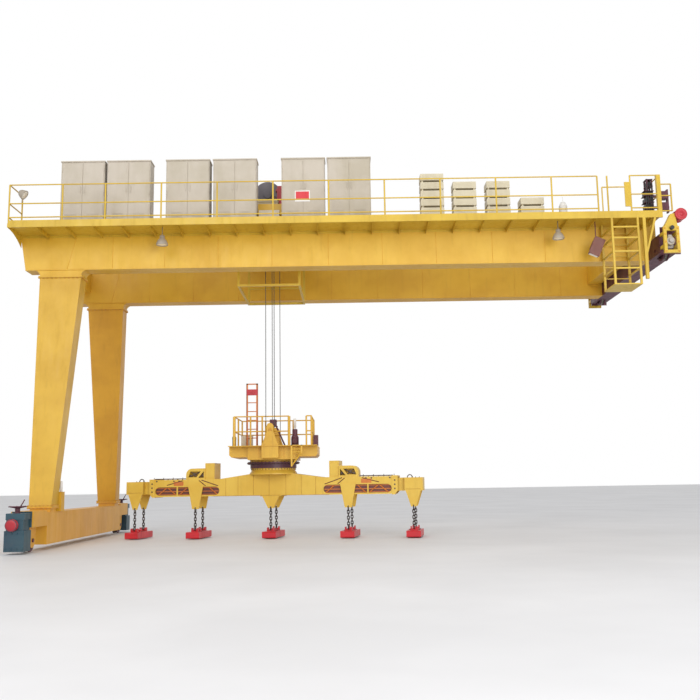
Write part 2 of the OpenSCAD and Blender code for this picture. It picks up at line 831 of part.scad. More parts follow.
module trolley_frame() {
    color(yellow) {
        both_sides() {
            trolley_side();
            block(tx - cross_x - cross_w / 2, tx + cross_x + cross_w / 2,
                -pedestal_y - pedestal_w / 2, -pedestal_y + pedestal_w / 2, frame_z0, frame_z1);
        }
        for (x = [tx - cross_x, tx + cross_x]) {
            block(x - cross_w / 2, x + cross_w / 2, -side_y, side_y, frame_z0, frame_z1);
        }
        block(tx + fall_x / 2 - anchor_w / 2, tx + fall_x / 2 + anchor_w / 2,
            -pedestal_y, pedestal_y, frame_z0, frame_z0 + 180);
    }
}

// Trolley wheels with their axles
trolley_wheel_profile = [
    [0, -trolley_wheel_w / 2 - 45], [trolley_axle_r, -trolley_wheel_w / 2 - 45],
    [trolley_axle_r, -trolley_wheel_w / 2], [trolley_wheel_r + 15, -trolley_wheel_w / 2],
    [trolley_wheel_r + 15, -trolley_wheel_w / 2 + 14], [trolley_wheel_r, -trolley_wheel_w / 2 + 18],
    [trolley_wheel_r, trolley_wheel_w / 2 - 18], [trolley_wheel_r + 15, trolley_wheel_w / 2 - 14],
    [trolley_wheel_r + 15, trolley_wheel_w / 2], [trolley_axle_r, trolley_wheel_w / 2],
    [trolley_axle_r, trolley_wheel_w / 2 + 45], [0, trolley_wheel_w / 2 + 45]
];

module trolley_wheels() {
    color(maroon) both_sides() for (x = [tx - wheel_x, tx + wheel_x]) {
        translate([x, -side_y, trolley_axle_z]) rotate([90, 0, 0]) rotate_extrude() polygon(trolley_wheel_profile);
    }
}

// Rope drum across the trolley, on two bearing pedestals
drum_x = tx - fall_x / 2 + drum_r + rope_d / 2;
drum_z = frame_z1 + drum_r + 90;
drum_half = pedestal_y - pedestal_w / 2 - 20;
drum_flange = 40;
groove_count = 10;

module rope_drum() {
    color(steel) {
        bar_y(drum_r - 6, -drum_half, drum_half, drum_x, drum_z);
        for (y = [-drum_half, drum_half - 25, -12]) bar_y(drum_r + drum_flange, y, y + 25, drum_x, drum_z);
        bar_y(55, -pedestal_y - pedestal_w / 2, pedestal_y + pedestal_w / 2, drum_x, drum_z);
        both_sides() {
            for (n = [-groove_count / 2 : groove_count / 2]) {
                translate([drum_x, -fall_y / 2 + n * (rope_d + 4), drum_z]) rotate([90, 0, 0])
                    rotate_extrude() translate([drum_r, 0]) circle(r = rope_d / 2, $fn = 16);
            }
            bar_z(rope_d / 2, frame_z0, drum_z, tx - fall_x / 2, -fall_y / 2);
        }
    }
}

// Hoist gearbox, motor and bearing pedestals
module hoist_drive() {
    color(maroon) {
        both_sides() difference() {
            side_plate(concat(
                [[drum_x + 160, frame_z1], [drum_x - 160, frame_z1]],
                arc(drum_x, drum_z, 110, 180, 0, 8)
            ), -pedestal_y - 45, -pedestal_y + 45);
            bar_y(55.3, -pedestal_y - 46, -pedestal_y + 46, drum_x, drum_z);
        }
        block(drum_x - 260, drum_x + 340, pedestal_y + pedestal_w / 2 + 12, side_y + side_w / 2,
            frame_z1, drum_z + 190);
        bar_x(150, drum_x - 760, drum_x - 260, side_y - 170, drum_z - 100);
        block(drum_x - 700, drum_x - 320, side_y - 270, side_y + 40, frame_z1, drum_z - 200);
    }
}

// Hanging service frame below the trolley, between the girders
cage_x = 800;
cage_y = 1200;
cage_bar = 60;

module trolley_cage() {
    z0 = -cage_drop;
    x0 = tx - cage_x - cage_bar;
    x1 = tx + cage_x + cage_bar;
    color(deep_yellow) {
        difference() {
            block(x0, x1, -cage_y - cage_bar, cage_y + cage_bar, z0, z0 + cage_bar);
            block(x0 + cage_bar, x1 - cage_bar, -cage_y, cage_y, z0 - 1, z0 + cage_bar + 1);
        }
        for (x = [x0, x1 - cage_bar], y = [-cage_y - cage_bar, cage_y]) {
            block(x, x + cage_bar, y, y + cage_bar, z0, frame_z0);
        }
        for (y = [-cage_y - cage_bar, cage_y]) {
            block(x0, x1, y + 10, y + cage_bar - 10, z0 + 480, z0 + 520);
            block(x0, x1, y, y + cage_bar, frame_z0 - cage_bar, frame_z0);
        }
    }
}

// Hoist ropes, two falls at the front and two at the rear
hz = gz + hanger_z;
sheave_z = hz + 440;

module hoist_ropes() {
    color(steel) both_sides() {
        for (x = [tx - fall_x / 2, tx + fall_x / 2]) {
            bar_z(rope_d / 2, sheave_z, frame_z0, x, -fall_y / 2);
        }
    }
}

// Hanger platform: a box frame with a floor, carried by the two sheave blocks
wing_h = 300;
deck_dx = 70;
deck_x0 = deck_dx - hanger_w / 2;
deck_x1 = deck_dx + hanger_w / 2;
core_x0 = -620;
core_x1 = 700;
core_y = 900;
floor_t = 20;
beam_low_z = gz + beam_under;
beam_top_z = beam_low_z + beam_mid_h;
flange_ring_h = 140;
ring_z0 = beam_top_z + flange_ring_h;
ring_h = 160;
ring_flange_t = 35;
ring_top_h = 60;
core_z = ring_z0 + ring_h + seat_gap + ring_top_h;

module hanger_platform() {
    color(yellow) translate([tx, 0, 0]) {
        block(deck_x0, deck_x1, -hanger_d / 2, hanger_d / 2, hz - floor_t, hz);
        block(core_x0, core_x1, -core_y, core_y, core_z, hz - floor_t);
        for (wing = [[core_x0, deck_x0, 60], [core_x1, deck_x1, -60]]) {
            side_plate([
                [wing[0], hz - floor_t], [wing[0], hz - wing_h], [wing[1] + wing[2], hz - wing_h],
                [wing[1], hz - wing_h + 60], [wing[1], hz - floor_t]
            ], -core_y + 60, core_y - 60);
        }
        bar_z(slew_r - 30, core_z - ring_top_h, core_z, 0, 0);
    }
}

// Guard rail round the hanger platform, open at the front beside the ladder
hanger_rail_h = 790;
hanger_levels = [385, hanger_rail_h];
thick_r = 38;
thin_r = 22.5;
rail_back = fall_y / 2 - 130;
rail_left = deck_x0 + 140;
rail_open = 500;
rail_shut = deck_x1 - 295;
rail_right = deck_x1 - 160;

module hanger_rail() {
    color(yellow) translate([tx, 0, hz]) {
        for (x = [rail_left, rail_open]) bar_z(thick_r, 0, hanger_rail_h, x, -rail_back);
        for (x = [rail_left + 440, rail_left + 755, rail_shut, rail_right]) {
            bar_z(thin_r, 0, hanger_rail_h, x, -rail_back);
        }
        for (x = [rail_left, -300, rail_open, rail_right]) bar_z(thin_r, 0, hanger_rail_h, x, rail_back);
        for (x = [rail_left, rail_right]) bar_z(thin_r, 0, hanger_rail_h, x, 0);
        for (h = hanger_levels) {
            bar_x(thin_r * 0.75, rail_left, rail_open, -rail_back, h);
            bar_x(thin_r * 0.75, rail_shut, rail_right, -rail_back, h);
            bar_x(thin_r * 0.75, rail_left, rail_right, rail_back, h);
            for (x = [rail_left, rail_right]) bar_y(thin_r * 0.75, -rail_back, rail_back, x, h);
        }
    }
}

// Sheave blocks: bell-shaped cheeks, each with a sheave on its pin
block_half = 225;
block_neck = 90;
block_step = 50;
block_t = 26;
sheave_w = 70;
pin_r = 32;
block_low = hz - 330;

module sheave_block() {
    y = -fall_y / 2;
    side = sheave_w / 2 + 14;
    cove = block_half - block_neck;
    for (y0 = [y - side - block_t, y + side]) difference() {
        side_plate(concat(
            [[-block_half, hz]],
            arc(-block_half, hz + block_step + cove, cove, -90, 0, 5),
            arc(0, sheave_z + 70, block_neck, 180, 0, 8),
            arc(block_half, hz + block_step + cove, cove, 180, 270, 5),
            [[block_half, hz]]
        ), y0, y0 + block_t);
        bar_y(pin_r + axle_gap, y0 - 1, y0 + block_t + 1, 0, sheave_z);
    }
    bar_y(pin_r, y - side - block_t - 15, y + side + block_t + 15, 0, sheave_z);
    translate([0, y, sheave_z]) rotate([90, 0, 0]) rotate_extrude() polygon([
        [pin_r + axle_gap, -sheave_w / 2], [pin_r + 28, -sheave_w / 2],
        [pin_r + 28, -16], [fall_x / 2 - 30, -16], [fall_x / 2 + 8, -30],
        [fall_x / 2 + 8, -22], [fall_x / 2 - rope_d / 2 - 0.5, -8], [fall_x / 2 - rope_d / 2 - 0.5, 8],
        [fall_x / 2 + 8, 22], [fall_x / 2 + 8, 30], [fall_x / 2 - 30, 16], [pin_r + 28, 16],
        [pin_r + 28, sheave_w / 2], [pin_r + axle_gap, sheave_w / 2]
    ]);
    translate([0, y, sheave_z]) rotate([-90, 0, 0])
        rotate_extrude(angle = 180) translate([fall_x / 2, 0]) circle(r = rope_d / 2, $fn = 16);
}

module sheave_blocks() {
    color(yellow) translate([tx, 0, 0]) {
        both_sides() {
            sheave_block();
            side_plate([
                [-block_half, hz - floor_t], [-block_half, block_low],
                [block_half, block_low], [block_half, hz - floor_t]
            ], -fall_y / 2 - sheave_w / 2 - 14 - block_t, -core_y);
        }
    }
}

// Slewing drive, signal lamp and switch boxes on the hanger platform
slew_motor = [570, 520];
switch_x0 = rail_left + 40;

module slew_drive() {
    color(maroon) translate([tx, 0, hz]) {
        bar_z(105, 0, 330, slew_motor[0], slew_motor[1]);
        bar_z(75, 330, 520, slew_motor[0], slew_motor[1]);
        block(rail_right + 30, deck_x1, -300, -60, 0, 300);
        block(deck_x0 + 10, deck_x0 + 90, -300, -60, 0, 290);
    }
    color(beige) translate([tx, 0, hz]) {
        bar_z(38, 520, 830, slew_motor[0], slew_motor[1]);
        block(switch_x0, switch_x0 + 310, 300, 560, 0, 350);
    }
}

// Ladder frame that stands up from the platform, and the short ladder below its front edge
ladder_h = 1815;
ladder_x = -620;
ladder_y = 200;
ladder_w = 330;
step_x0 = 560;
step_x1 = 865;
step_t = 40;
step_low = -570;

module hanger_ladder() {
    color(deep_yellow) translate([tx + ladder_x, ladder_y, hz]) {
        for (x = [-ladder_w / 2, ladder_w / 2 - 50]) {
            block(x, x + 50, 0, 50, 0, ladder_h);
        }
        for (z = [250 : 250 : ladder_h - 100]) block(-ladder_w / 2, ladder_w / 2, 10, 40, z, z + 40);
        block(-ladder_w / 2, ladder_w / 2, 0, 50, ladder_h - 50, ladder_h);
        block(-ladder_w / 2 + 10, ladder_w / 2 - 10, 0, 90, ladder_h - 330, ladder_h - 170);
    }
    color(yellow) translate([tx, -hanger_d / 2 - step_t, hz]) {
        block(step_x0, step_x0 + step_t, 0, step_t, step_low, 0);
        block(step_x1 - step_t, step_x1, 0, step_t, -220, 0);
        for (z = [-120, -200]) block(step_x0, step_x1, 10, step_t - 10, z, z + 25);
        side_plate([
            [step_x0 + 5, step_low + 10], [step_x0 + 45, step_low + 10],
            [step_x1 - 5, -215], [step_x1 - 45, -215]
        ], 10, step_t - 10);
    }
}

// Places a piece of the slewing part in its resting angle
module slewed() {
    translate([tx, 0, 0]) rotate([0, 0, slew_rest]) children();
}

// The slewing ring between the hanger and the magnet beam
module slewing_ring() {
    color(maroon) slewed() {
        bar_z(slew_r - 40, ring_z0, ring_z0 + ring_h - ring_flange_t, 0, 0);
        bar_z(slew_r + 50, ring_z0 + ring_h - ring_flange_t, ring_z0 + ring_h, 0, 0);
    }
}

// Magnet beam: a stepped box with a sleeve at each end and plates for the chains
solid_x = 1630;
mid_x = 530;
slope_x = 1450;
half_w = spreader_w / 2;
end_top_z = beam_low_z + beam_end_h;
slot_z0 = beam_low_z + 40;
slot_z1 = beam_low_z + 265;
slot_x0 = solid_x - 165;
slot_x1 = sleeve_x - 170;
slot_r = (slot_z1 - slot_z0) / 2;
slot_post_x = inner_x + 520;
mouth_cut = 90;
seat_r = slew_r - 65;
collar_l = 160;
collar_t = 18;
plate_t = 30;
plate_y = half_w + plate_t / 2;
shackle_l = 100;
shackle_w = 62;
shackle_d = 28;
eye_r = 20;
lug_rise = 34;
magnet_top_z = gz + magnet_gap + magnet_h;
magnet_eye_z = magnet_top_z + lug_rise;
shackle_sag = shackle_w / 2 - sqrt(pow(shackle_w / 2, 2) - pow(plate_t / 2, 2));
shackle_offset = eye_r - seat_gap - shackle_sag;
chain_len = 2 * shackle_offset + 2 * shackle_l - seat_gap + links * (link_l - seat_gap);
beam_eye_z = magnet_eye_z + chain_len;
plate_low_z = beam_eye_z - 36;
arm_w = 400;
arm_z0 = beam_low_z + 75;
arm_z1 = end_top_z - 45;
arm_x0 = solid_x + 30;
arm_x1 = outer_x + 260;
head_x0 = outer_x - 240;
cavity_x = arm_x0 - arm_back;
pad_l = 80;
pads = [sleeve_x - 230, sleeve_x - 900];

// One chain plate with its eye, hung from top_z, centred at x
module chain_plate(x, top_w, top_z, low_w, side) {
    y0 = side * plate_y - plate_t / 2;
    difference() {
        side_plate([
            [x - top_w / 2, top_z], [x - low_w / 2, plate_low_z],
            [x + low_w / 2, plate_low_z], [x + top_w / 2, top_z]
        ], y0, y0 + plate_t);
        bar_y(eye_r, y0 - 1, y0 + plate_t + 1, x, beam_eye_z);
    }
}

// The hollow that an arm slides in
module cavity() {
    block(cavity_x, sleeve_x + 1, -half_w + sleeve_t, half_w - sleeve_t,
        beam_low_z + sleeve_t, end_top_z - sleeve_t);
}

// The long opening through both side walls
module side_slot() {
    block(slot_x0 + slot_r, slot_x1 - slot_r, -half_w - 1, half_w + 1, slot_z0, slot_z1);
    for (x = [slot_x0 + slot_r, slot_x1 - slot_r]) {
        bar_y(slot_r, -half_w - 1, half_w + 1, x, slot_z0 + slot_r);
    }
}

// The slanted cut under the mouth of a sleeve
module mouth() {
    side_plate([
        [sleeve_x - mouth_cut, beam_low_z - collar_t - 1], [sleeve_x + 1, beam_low_z - collar_t - 1],
        [sleeve_x + 1, beam_low_z + mouth_cut]
    ], -half_w - collar_t - 1, half_w + collar_t + 1);
}

module sleeve() {
    difference() {
        block(solid_x, sleeve_x, -half_w, half_w, beam_low_z, end_top_z);
        cavity();
        side_slot();
        mouth();
        block(inner_x + 320, inner_x + 620, -120, 120, end_top_z - sleeve_t - 1, end_top_z + 1);
    }
    difference() {
        block(sleeve_x - collar_l, sleeve_x, -half_w - collar_t, half_w + collar_t,
            beam_low_z - collar_t, end_top_z + collar_t);
        block(sleeve_x - collar_l - 1, sleeve_x + 1, -half_w + 1, half_w - 1, beam_low_z + 1, end_top_z - 1);
        mouth();
    }
    both_sides() block(slot_post_x, slot_post_x + 40, -half_w, -half_w + sleeve_t, slot_z0 - 1, slot_z1 + 1);
    for (x = pads) {
        block(x, x + pad_l, -arm_w / 2, arm_w / 2, beam_low_z + sleeve_t - 1, arm_z0 - seat_gap);
        block(x, x + pad_l, -arm_w / 2, arm_w / 2, arm_z1 + seat_gap, end_top_z - sleeve_t + 1);
        both_sides() block(x, x + pad_l, -half_w + sleeve_t - 1, -arm_w / 2 - seat_gap, arm_z1 - 60, arm_z1);
    }
    for (s = [-1, 1]) {
        chain_plate(inner_x, 430, beam_low_z + 290, 190, s);
    }
}

module magnet_beam() {
    color(yellow) slewed() {
        difference() {
            side_plate([
                [-solid_x, beam_low_z], [solid_x, beam_low_z], [solid_x, end_top_z], [slope_x, end_top_z],
                [mid_x, beam_top_z], [-mid_x, beam_top_z], [-slope_x, end_top_z], [-solid_x, end_top_z]
            ], -half_w, half_w);
            for (a = [0, 180]) rotate([0, 0, a]) {
                cavity();
                side_slot();
            }
        }
        block(-300, 300, -plate_y - plate_t / 2, plate_y + plate_t / 2, beam_low_z - 20, beam_low_z);
        for (s = [-1, 1]) chain_plate(0, 470, beam_low_z - 20, 150, s);
        translate([0, 0, beam_top_z]) rotate_extrude() polygon([
            [0, -30], [seat_r + 45, -30], [seat_r + 45, 0], [seat_r - 15, flange_ring_h - 55],
            [seat_r, flange_ring_h - 55], [seat_r, flange_ring_h], [0, flange_ring_h]
        ]);
        sleeve();
        rotate([0, 0, 180]) sleeve();
    }
}

// Telescopic arms with a wide head for the outer chains
module arm() {
    block(arm_x0, head_x0, -arm_w / 2, arm_w / 2, arm_z0, arm_z1);
    block(head_x0, arm_x1, -plate_y - plate_t / 2, plate_y + plate_t / 2, arm_z0, arm_z1);
    for (s = [-1, 1]) chain_plate(outer_x, 400, arm_z0, 130, s);
}

module left_arm() {
    color(yellow) slewed() rotate([0, 0, 180]) arm();
}

module right_arm() {
    color(yellow) slewed() arm();
}

// Arm drives on top of the sleeves: a switch box and a rounded cover with openings for its linkage
drive_x0 = solid_x - 10;
drive_x1 = solid_x + 260;
drive_h = 440;
cover_h = 300;
cover_x1 = inner_x + 290;
cover_r = 170;
cover_y0 = -half_w + 10;

module arm_drive() {
    block(drive_x0, drive_x1, -half_w + 50, half_w, end_top_z, end_top_z + drive_h);
    difference() {
        side_plate(concat(
            [[drive_x1 - 1, end_top_z], [drive_x1 - 1, end_top_z + cover_h]],
            arc(cover_x1 - cover_r, end_top_z + cover_h - cover_r, cover_r, 90, 0),
            [[cover_x1, end_top_z]]
        ), cover_y0, 100);
        side_plate([
            [drive_x1 + 30, end_top_z + 40], [drive_x1 + 30, end_top_z + 230], [drive_x1 + 190, end_top_z + 40]
        ], cover_y0 - 1, cover_y0 + 150);
        side_plate([
            [drive_x1 + 240, end_top_z + 60], [drive_x1 + 120, end_top_z + 220],
            [cover_x1 - 120, end_top_z + 220], [cover_x1 - 60, end_top_z + 60]
        ], cover_y0 - 1, cover_y0 + 150);
    }
}

module arm_drives() {
    color(yellow) slewed() for (m = [0, 1]) mirror([m, 0, 0]) arm_drive();
}

// A chain link in the X and Z plane, its inner length running down from z
module chain_link(inner_l, inner_w, wire, z) {
    straight = inner_l - inner_w;
    turn_r = (inner_w + wire) / 2;
    translate([0, 0, z - inner_l / 2]) {
        for (s = [-1, 1]) {
            bar_z(wire / 2, -straight / 2, straight / 2, s * turn_r, 0);
            translate([0, 0, s * straight / 2]) rotate([s * 90, 0, 0])
                rotate_extrude(angle = 180) translate([turn_r, 0]) circle(r = wire / 2, $fn = 16);
        }
    }
}

// One chain from its plate down to its magnet, at x on one side of the beam
link_w = 1.35 * link_d;

module chain(x, side) {
    top = beam_eye_z - shackle_offset;
    first = top - shackle_l + seat_gap;
    translate([x, side * plate_y, 0]) {
        rotate([0, 0, 90]) chain_link(shackle_l, shackle_w, shackle_d, top);
        for (i = [0 : links - 1]) {
            rotate([0, 0, i % 2 == 0 ? 0 : 90])
                chain_link(link_l, link_w, link_d, first - i * (link_l - seat_gap));
        }
        rotate([0, 0, 90]) chain_link(shackle_l, shackle_w, shackle_d, first - links * (link_l - seat_gap));
    }
}

module inner_chains() {
    color(steel) slewed() for (x = [-inner_x, 0, inner_x], s = [-1, 1]) chain(x, s);
}

module left_chains() {
    color(steel) slewed() for (s = [-1, 1]) chain(-outer_x, s);
}

module right_chains() {
    color(steel) slewed() for (s = [-1, 1]) chain(outer_x, s);
}

// Lifting magnets: a steel case with two eye lugs on raised pads
module magnet(x) {
    translate([x, 0, 0]) {
        cross_plate([
            [-magnet_l / 2 + 25, gz + magnet_gap], [magnet_l / 2 - 25, gz + magnet_gap],
            [magnet_l / 2, gz + magnet_gap + 25], [magnet_l / 2, magnet_top_z - 20],
            [magnet_l / 2 - 20, magnet_top_z], [-magnet_l / 2 + 20, magnet_top_z],
            [-magnet_l / 2, magnet_top_z - 20], [-magnet_l / 2, gz + magnet_gap + 25]
        ], -magnet_w / 2, magnet_w / 2);
        for (s = [-1, 1]) difference() {
            side_plate([
                [-85, magnet_top_z - 1], [-85, magnet_top_z + 10], [-35, magnet_eye_z + eye_r + 14],
                [35, magnet_eye_z + eye_r + 14], [85, magnet_top_z + 10], [85, magnet_top_z - 1]
            ], s * plate_y - plate_t / 2, s * plate_y + plate_t / 2);
            bar_y(eye_r, s * plate_y - plate_t, s * plate_y + plate_t, 0, magnet_eye_z);
        }
    }
}

module inner_magnets() {
    color(red) slewed() for (x = [-inner_x, 0, inner_x]) magnet(x);
}

module left_magnet() {
    color(red) slewed() magnet(-outer_x);
}

module right_magnet() {
    color(red) slewed() magnet(outer_x);
}

front_girder();
rear_girder();
end_ties();
trolley_rails();
front_leg();
rear_leg();
ground_beam();
ground_drives();
front_ground_wheel();
rear_ground_wheel();
runway_carriage();
runway_drives();
front_runway_wheel();
rear_runway_wheel();
buffers();
front_walkway();
rear_walkway();
front_guard_rail();
rear_guard_rail();
control_cabinets();
resistor_racks();
access_cage();
work_lamps();
trolley_frame();
trolley_wheels();
rope_drum();
hoist_drive();
trolley_cage();
hoist_ropes();
hanger_platform();
hanger_rail();
sheave_blocks();
slew_drive();
hanger_ladder();
magnet_beam();
slewing_ring();
arm_drives();
inner_chains();
inner_magnets();
left_arm();
left_chains();
left_magnet();
right_arm();
right_chains();
right_magnet();
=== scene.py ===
import math
import bpy
import numpy as np
from mathutils import Matrix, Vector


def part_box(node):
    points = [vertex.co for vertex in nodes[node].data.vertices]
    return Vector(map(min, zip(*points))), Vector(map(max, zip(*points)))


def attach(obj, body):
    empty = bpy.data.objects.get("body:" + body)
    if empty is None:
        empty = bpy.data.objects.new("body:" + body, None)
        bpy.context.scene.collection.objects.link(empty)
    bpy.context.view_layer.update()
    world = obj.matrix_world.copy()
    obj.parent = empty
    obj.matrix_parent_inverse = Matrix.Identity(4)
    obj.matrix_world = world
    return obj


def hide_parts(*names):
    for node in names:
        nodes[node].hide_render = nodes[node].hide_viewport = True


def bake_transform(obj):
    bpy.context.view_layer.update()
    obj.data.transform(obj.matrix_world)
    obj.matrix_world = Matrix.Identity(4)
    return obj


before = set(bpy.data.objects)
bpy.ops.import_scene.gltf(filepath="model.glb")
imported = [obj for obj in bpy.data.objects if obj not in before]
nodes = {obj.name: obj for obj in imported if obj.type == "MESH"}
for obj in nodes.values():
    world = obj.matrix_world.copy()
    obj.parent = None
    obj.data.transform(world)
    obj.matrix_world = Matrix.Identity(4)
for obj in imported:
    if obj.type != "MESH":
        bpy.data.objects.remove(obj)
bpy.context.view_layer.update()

# Camera
# It looks up at the crane from about 1.45 m above the floor and 22 m before the
# front girder, tilted up by 8.8 degrees and rolled by 0.95 degrees.
SPAN = 15.6
CLEAR = 7.05
FOCAL_PX = 860.0
PICTURE_PX = 700.0
SENSOR_MM = 36.0
ground_x = -SPAN
ground_z = -CLEAR
yaw = 0.003
pitch = 0.1535
roll = -0.0165
forward = np.array([math.sin(yaw) * math.cos(pitch), math.cos(yaw) * math.cos(pitch), math.sin(pitch)])
level = np.array([math.cos(yaw), -math.sin(yaw), 0.0])
upright = np.cross(level, forward)
right = math.cos(roll) * level + math.sin(roll) * upright
up = -math.sin(roll) * level + math.cos(roll) * upright


def stand(name, data, axes, spot):
    """Makes an object whose own X, Y and Z point along the axes, at spot."""
    made = bpy.data.objects.new(name, data)
    turn = np.eye(4)
    turn[:3, :3] = np.stack(axes, 1)
    turn[:3, 3] = spot
    made.matrix_world = Matrix(turn.tolist())
    bpy.context.scene.collection.objects.link(made)
    return made


camera_data = bpy.data.cameras.new("camera")
camera_data.sensor_width = SENSOR_MM
camera_data.lens = FOCAL_PX / PICTURE_PX * SENSOR_MM
camera_data.clip_end = 300.0
spot = (ground_x + 7.47, -24.15, ground_z + 1.45)
bpy.context.scene.camera = stand("camera", camera_data, (right, up, -forward), spot)


# Box girders and end ties
# Two welded box girders of 16 mm plate with end ties between them, sprayed with
# a satin alkyd enamel. The webs are butt welded from plates about 1.4 m long.
def rgb(code):
    """Turns an sRGB hex colour into linear values, with 1 for its fourth value."""
    parts = np.array([int(code[i:i + 2], 16) for i in (1, 3, 5)]) / 255.0
    linear = np.where(parts <= 0.04045, parts / 12.92, ((parts + 0.055) / 1.055) ** 2.4)
    return (*linear.tolist(), 1.0)


def grey(value):
    """A grey of one linear value."""
    return (value, value, value, 1.0)


def connect(tree, node, links, values=None):
    """Sets the values of a node's sockets, and links others to an output or to a node's first output."""
    for key, value in (values or {}).items():
        node.inputs[key].default_value = value
    for key, source in (links or {}).items():
        tree.links.new(source.outputs[0] if hasattr(source, "outputs") else source, node.inputs[key])


def add(tree, kind, links=None, values=None, stops=(), **settings):
    """Adds a node: its properties, its ramp stops, the values of its sockets and its links."""
    node = tree.nodes.new("ShaderNode" + kind)
    for key, value in settings.items():
        setattr(node, key, value)
    for mark, (at, colour) in zip(node.color_ramp.elements if stops else (), stops):
        mark.position = at
        mark.color = colour
    connect(tree, node, links, values)
    return node


def blank(name):
    """A new material, its node tree, its shader and its object coordinates."""
    made = bpy.data.materials.new(name)
    made.use_nodes = True
    tree = made.node_tree
    return made, tree, tree.nodes["Principled BSDF"], add(tree, "TexCoord").outputs["Object"]


def enamel(name, coat, shade, dirt, rough=0.42, wear=0.5, metal="#6E655C", grime_z=None):
    """Sprayed enamel: coat and shade drift over metres, dirt runs down in streaks,
    small chips show primer or bare metal, and grime gathers below grime_z."""
    made, tree, shader, where = blank(name)
    spot = {"Vector": where}
    drift = add(tree, "TexNoise", spot, {"Scale": 0.9, "Detail": 4.0, "Roughness": 0.6})
    tone = add(tree, "ValToRGB", {"Fac": drift}, stops=[(0.36, rgb(shade)), (0.6, rgb(coat))])
    drawn = add(tree, "Mapping", spot, {"Scale": (5.0, 5.0, 0.55)})
    streak = add(tree, "TexNoise", {"Vector": drawn}, {"Scale": 1.6, "Detail": 6.0, "Roughness": 0.68})
    runs = add(tree, "ValToRGB", {"Fac": streak}, stops=[(0.54, grey(0.0)), (0.78, grey(0.4 * wear))])
    soiled = add(tree, "Mix", {0: runs, 6: tone}, {7: rgb(dirt)}, data_type="RGBA")
    colour = soiled.outputs[2]
    if grime_z is not None:
        height = add(tree, "SeparateXYZ", spot)
        low = add(tree, "MapRange", {"Value": height.outputs["Z"]},
                  {"From Min": grime_z, "From Max": grime_z - 1.1, "To Min": 0.0, "To Max": 0.3})
        broken = add(tree, "TexNoise", spot, {"Scale": 4.5, "Detail": 7.0, "Roughness": 0.7})
        patch = add(tree, "ValToRGB", {"Fac": broken}, stops=[(0.42, grey(0.0)), (0.62, grey(1.0))])
        depth = add(tree, "Math", {0: low, 1: patch}, operation="MULTIPLY")
        muddy = add(tree, "Mix", {0: depth, 6: colour}, {7: rgb("#6F6152")}, data_type="RGBA")
        colour = muddy.outputs[2]
    speck = add(tree, "TexNoise", spot, {"Scale": 38.0, "Detail": 5.0, "Roughness": 0.75})
    chip = add(tree, "ValToRGB", {"Fac": speck}, stops=[(0.7, grey(0.0)), (0.73, grey(wear))])
    bare = add(tree, "Mix", {0: chip, 6: colour}, {7: rgb(metal)}, data_type="RGBA")
    gloss = add(tree, "MapRange", {"Value": streak},
                {"From Min": 0.3, "From Max": 0.75, "To Min": rough - 0.08, "To Max": rough + 0.18})
    peel = add(tree, "TexNoise", spot, {"Scale": 26.0, "Detail": 3.0})
    sag = add(tree, "TexNoise", spot, {"Scale": 1.3, "Detail": 1.0})
    fine = add(tree, "Bump", {"Height": peel}, {"Strength": 0.06, "Distance": 0.004})
    wavy = add(tree, "Bump", {"Height": sag, "Normal": fine}, {"Strength": 0.1, "Distance": 0.03})
    connect(tree, shader, {"Base Color": bare.outputs[2], "Roughness": gloss, "Normal": wavy})
    return made


def dress(material, *names):
    """Gives the material to every slot of the named CAD nodes."""
    for name in names:
        data = nodes[name].data
        data.materials.clear()
        data.materials.append(material)


def model(name, verts, faces, material, smooth=False):
    """Makes one mesh from an array of points and a list of faces."""
    data = bpy.data.meshes.new(name)
    data.from_pydata(np.asarray(verts).tolist(), [], [list(face) for face in faces])
    data.materials.append(material)
    data.polygons.foreach_set("use_smooth", np.full(len(data.polygons), smooth))
    data.update()
    made = bpy.data.objects.new(name, data)
    bpy.context.scene.collection.objects.link(made)
    return made


def piece(name, verts, faces, material, body, slot_name, smooth=False):
    """Makes one mesh and rides it on a body."""
    made = model(name, verts, faces, material, smooth)
    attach(made, body)
    return made


def join(*parts, at=(0.0, 0.0, 0.0)):
    """Joins (points, faces) pairs into one, faces moved up by the points before them, and moves it by at."""
    starts = np.cumsum([0] + [len(p[0]) for p in parts[:-1]])
    points = np.vstack([p[0] for p in parts]) + np.array(at)
    faces = [[int(i + start) for i in face] for (_, group), start in zip(parts, starts) for face in group]
    return points, faces


def frame_of(direction):
    """Two unit vectors square to each direction and to each other."""
    along = direction / np.linalg.norm(direction, axis=-1, keepdims=True)
    guide = np.where(np.abs(along[..., 2:3]) > 0.9, np.array([1.0, 0, 0]), np.array([0, 0, 1.0]))
    first = np.cross(guide, along)
    first /= np.linalg.norm(first, axis=-1, keepdims=True)
    return along, first, np.cross(along, first)


def circle(count, phase=0.0):
    """Cosines and sines of count angles, evenly spaced round a circle from phase."""
    a = phase + np.arange(count) * 2 * math.pi / count
    return np.cos(a), np.sin(a)


def rods(starts, ends, radius, sides=8):
    """Straight bars: a circle of sides points at each end, P(a) = end + r (cos a U + sin a V)."""
    starts = np.atleast_2d(np.asarray(starts, float))
    ends = np.atleast_2d(np.asarray(ends, float))
    _, u, v = frame_of(ends - starts)
    c, s = circle(sides)
    ring = radius * (c[None, :, None] * u[:, None] + s[None, :, None] * v[:, None])
    points = np.concatenate([starts[:, None] + ring, ends[:, None] + ring], axis=1).reshape(-1, 3)
    i = np.arange(sides)
    j = (i + 1) % sides
    walls = np.stack([i, j, j + sides, i + sides], axis=1)
    base = 2 * sides * np.arange(len(starts))
    faces = (walls[None] + base[:, None, None]).reshape(-1, 4).tolist()
    faces += (i[::-1][None] + base[:, None]).tolist()
    faces += (i[None] + sides + base[:, None]).tolist()
    return points, faces


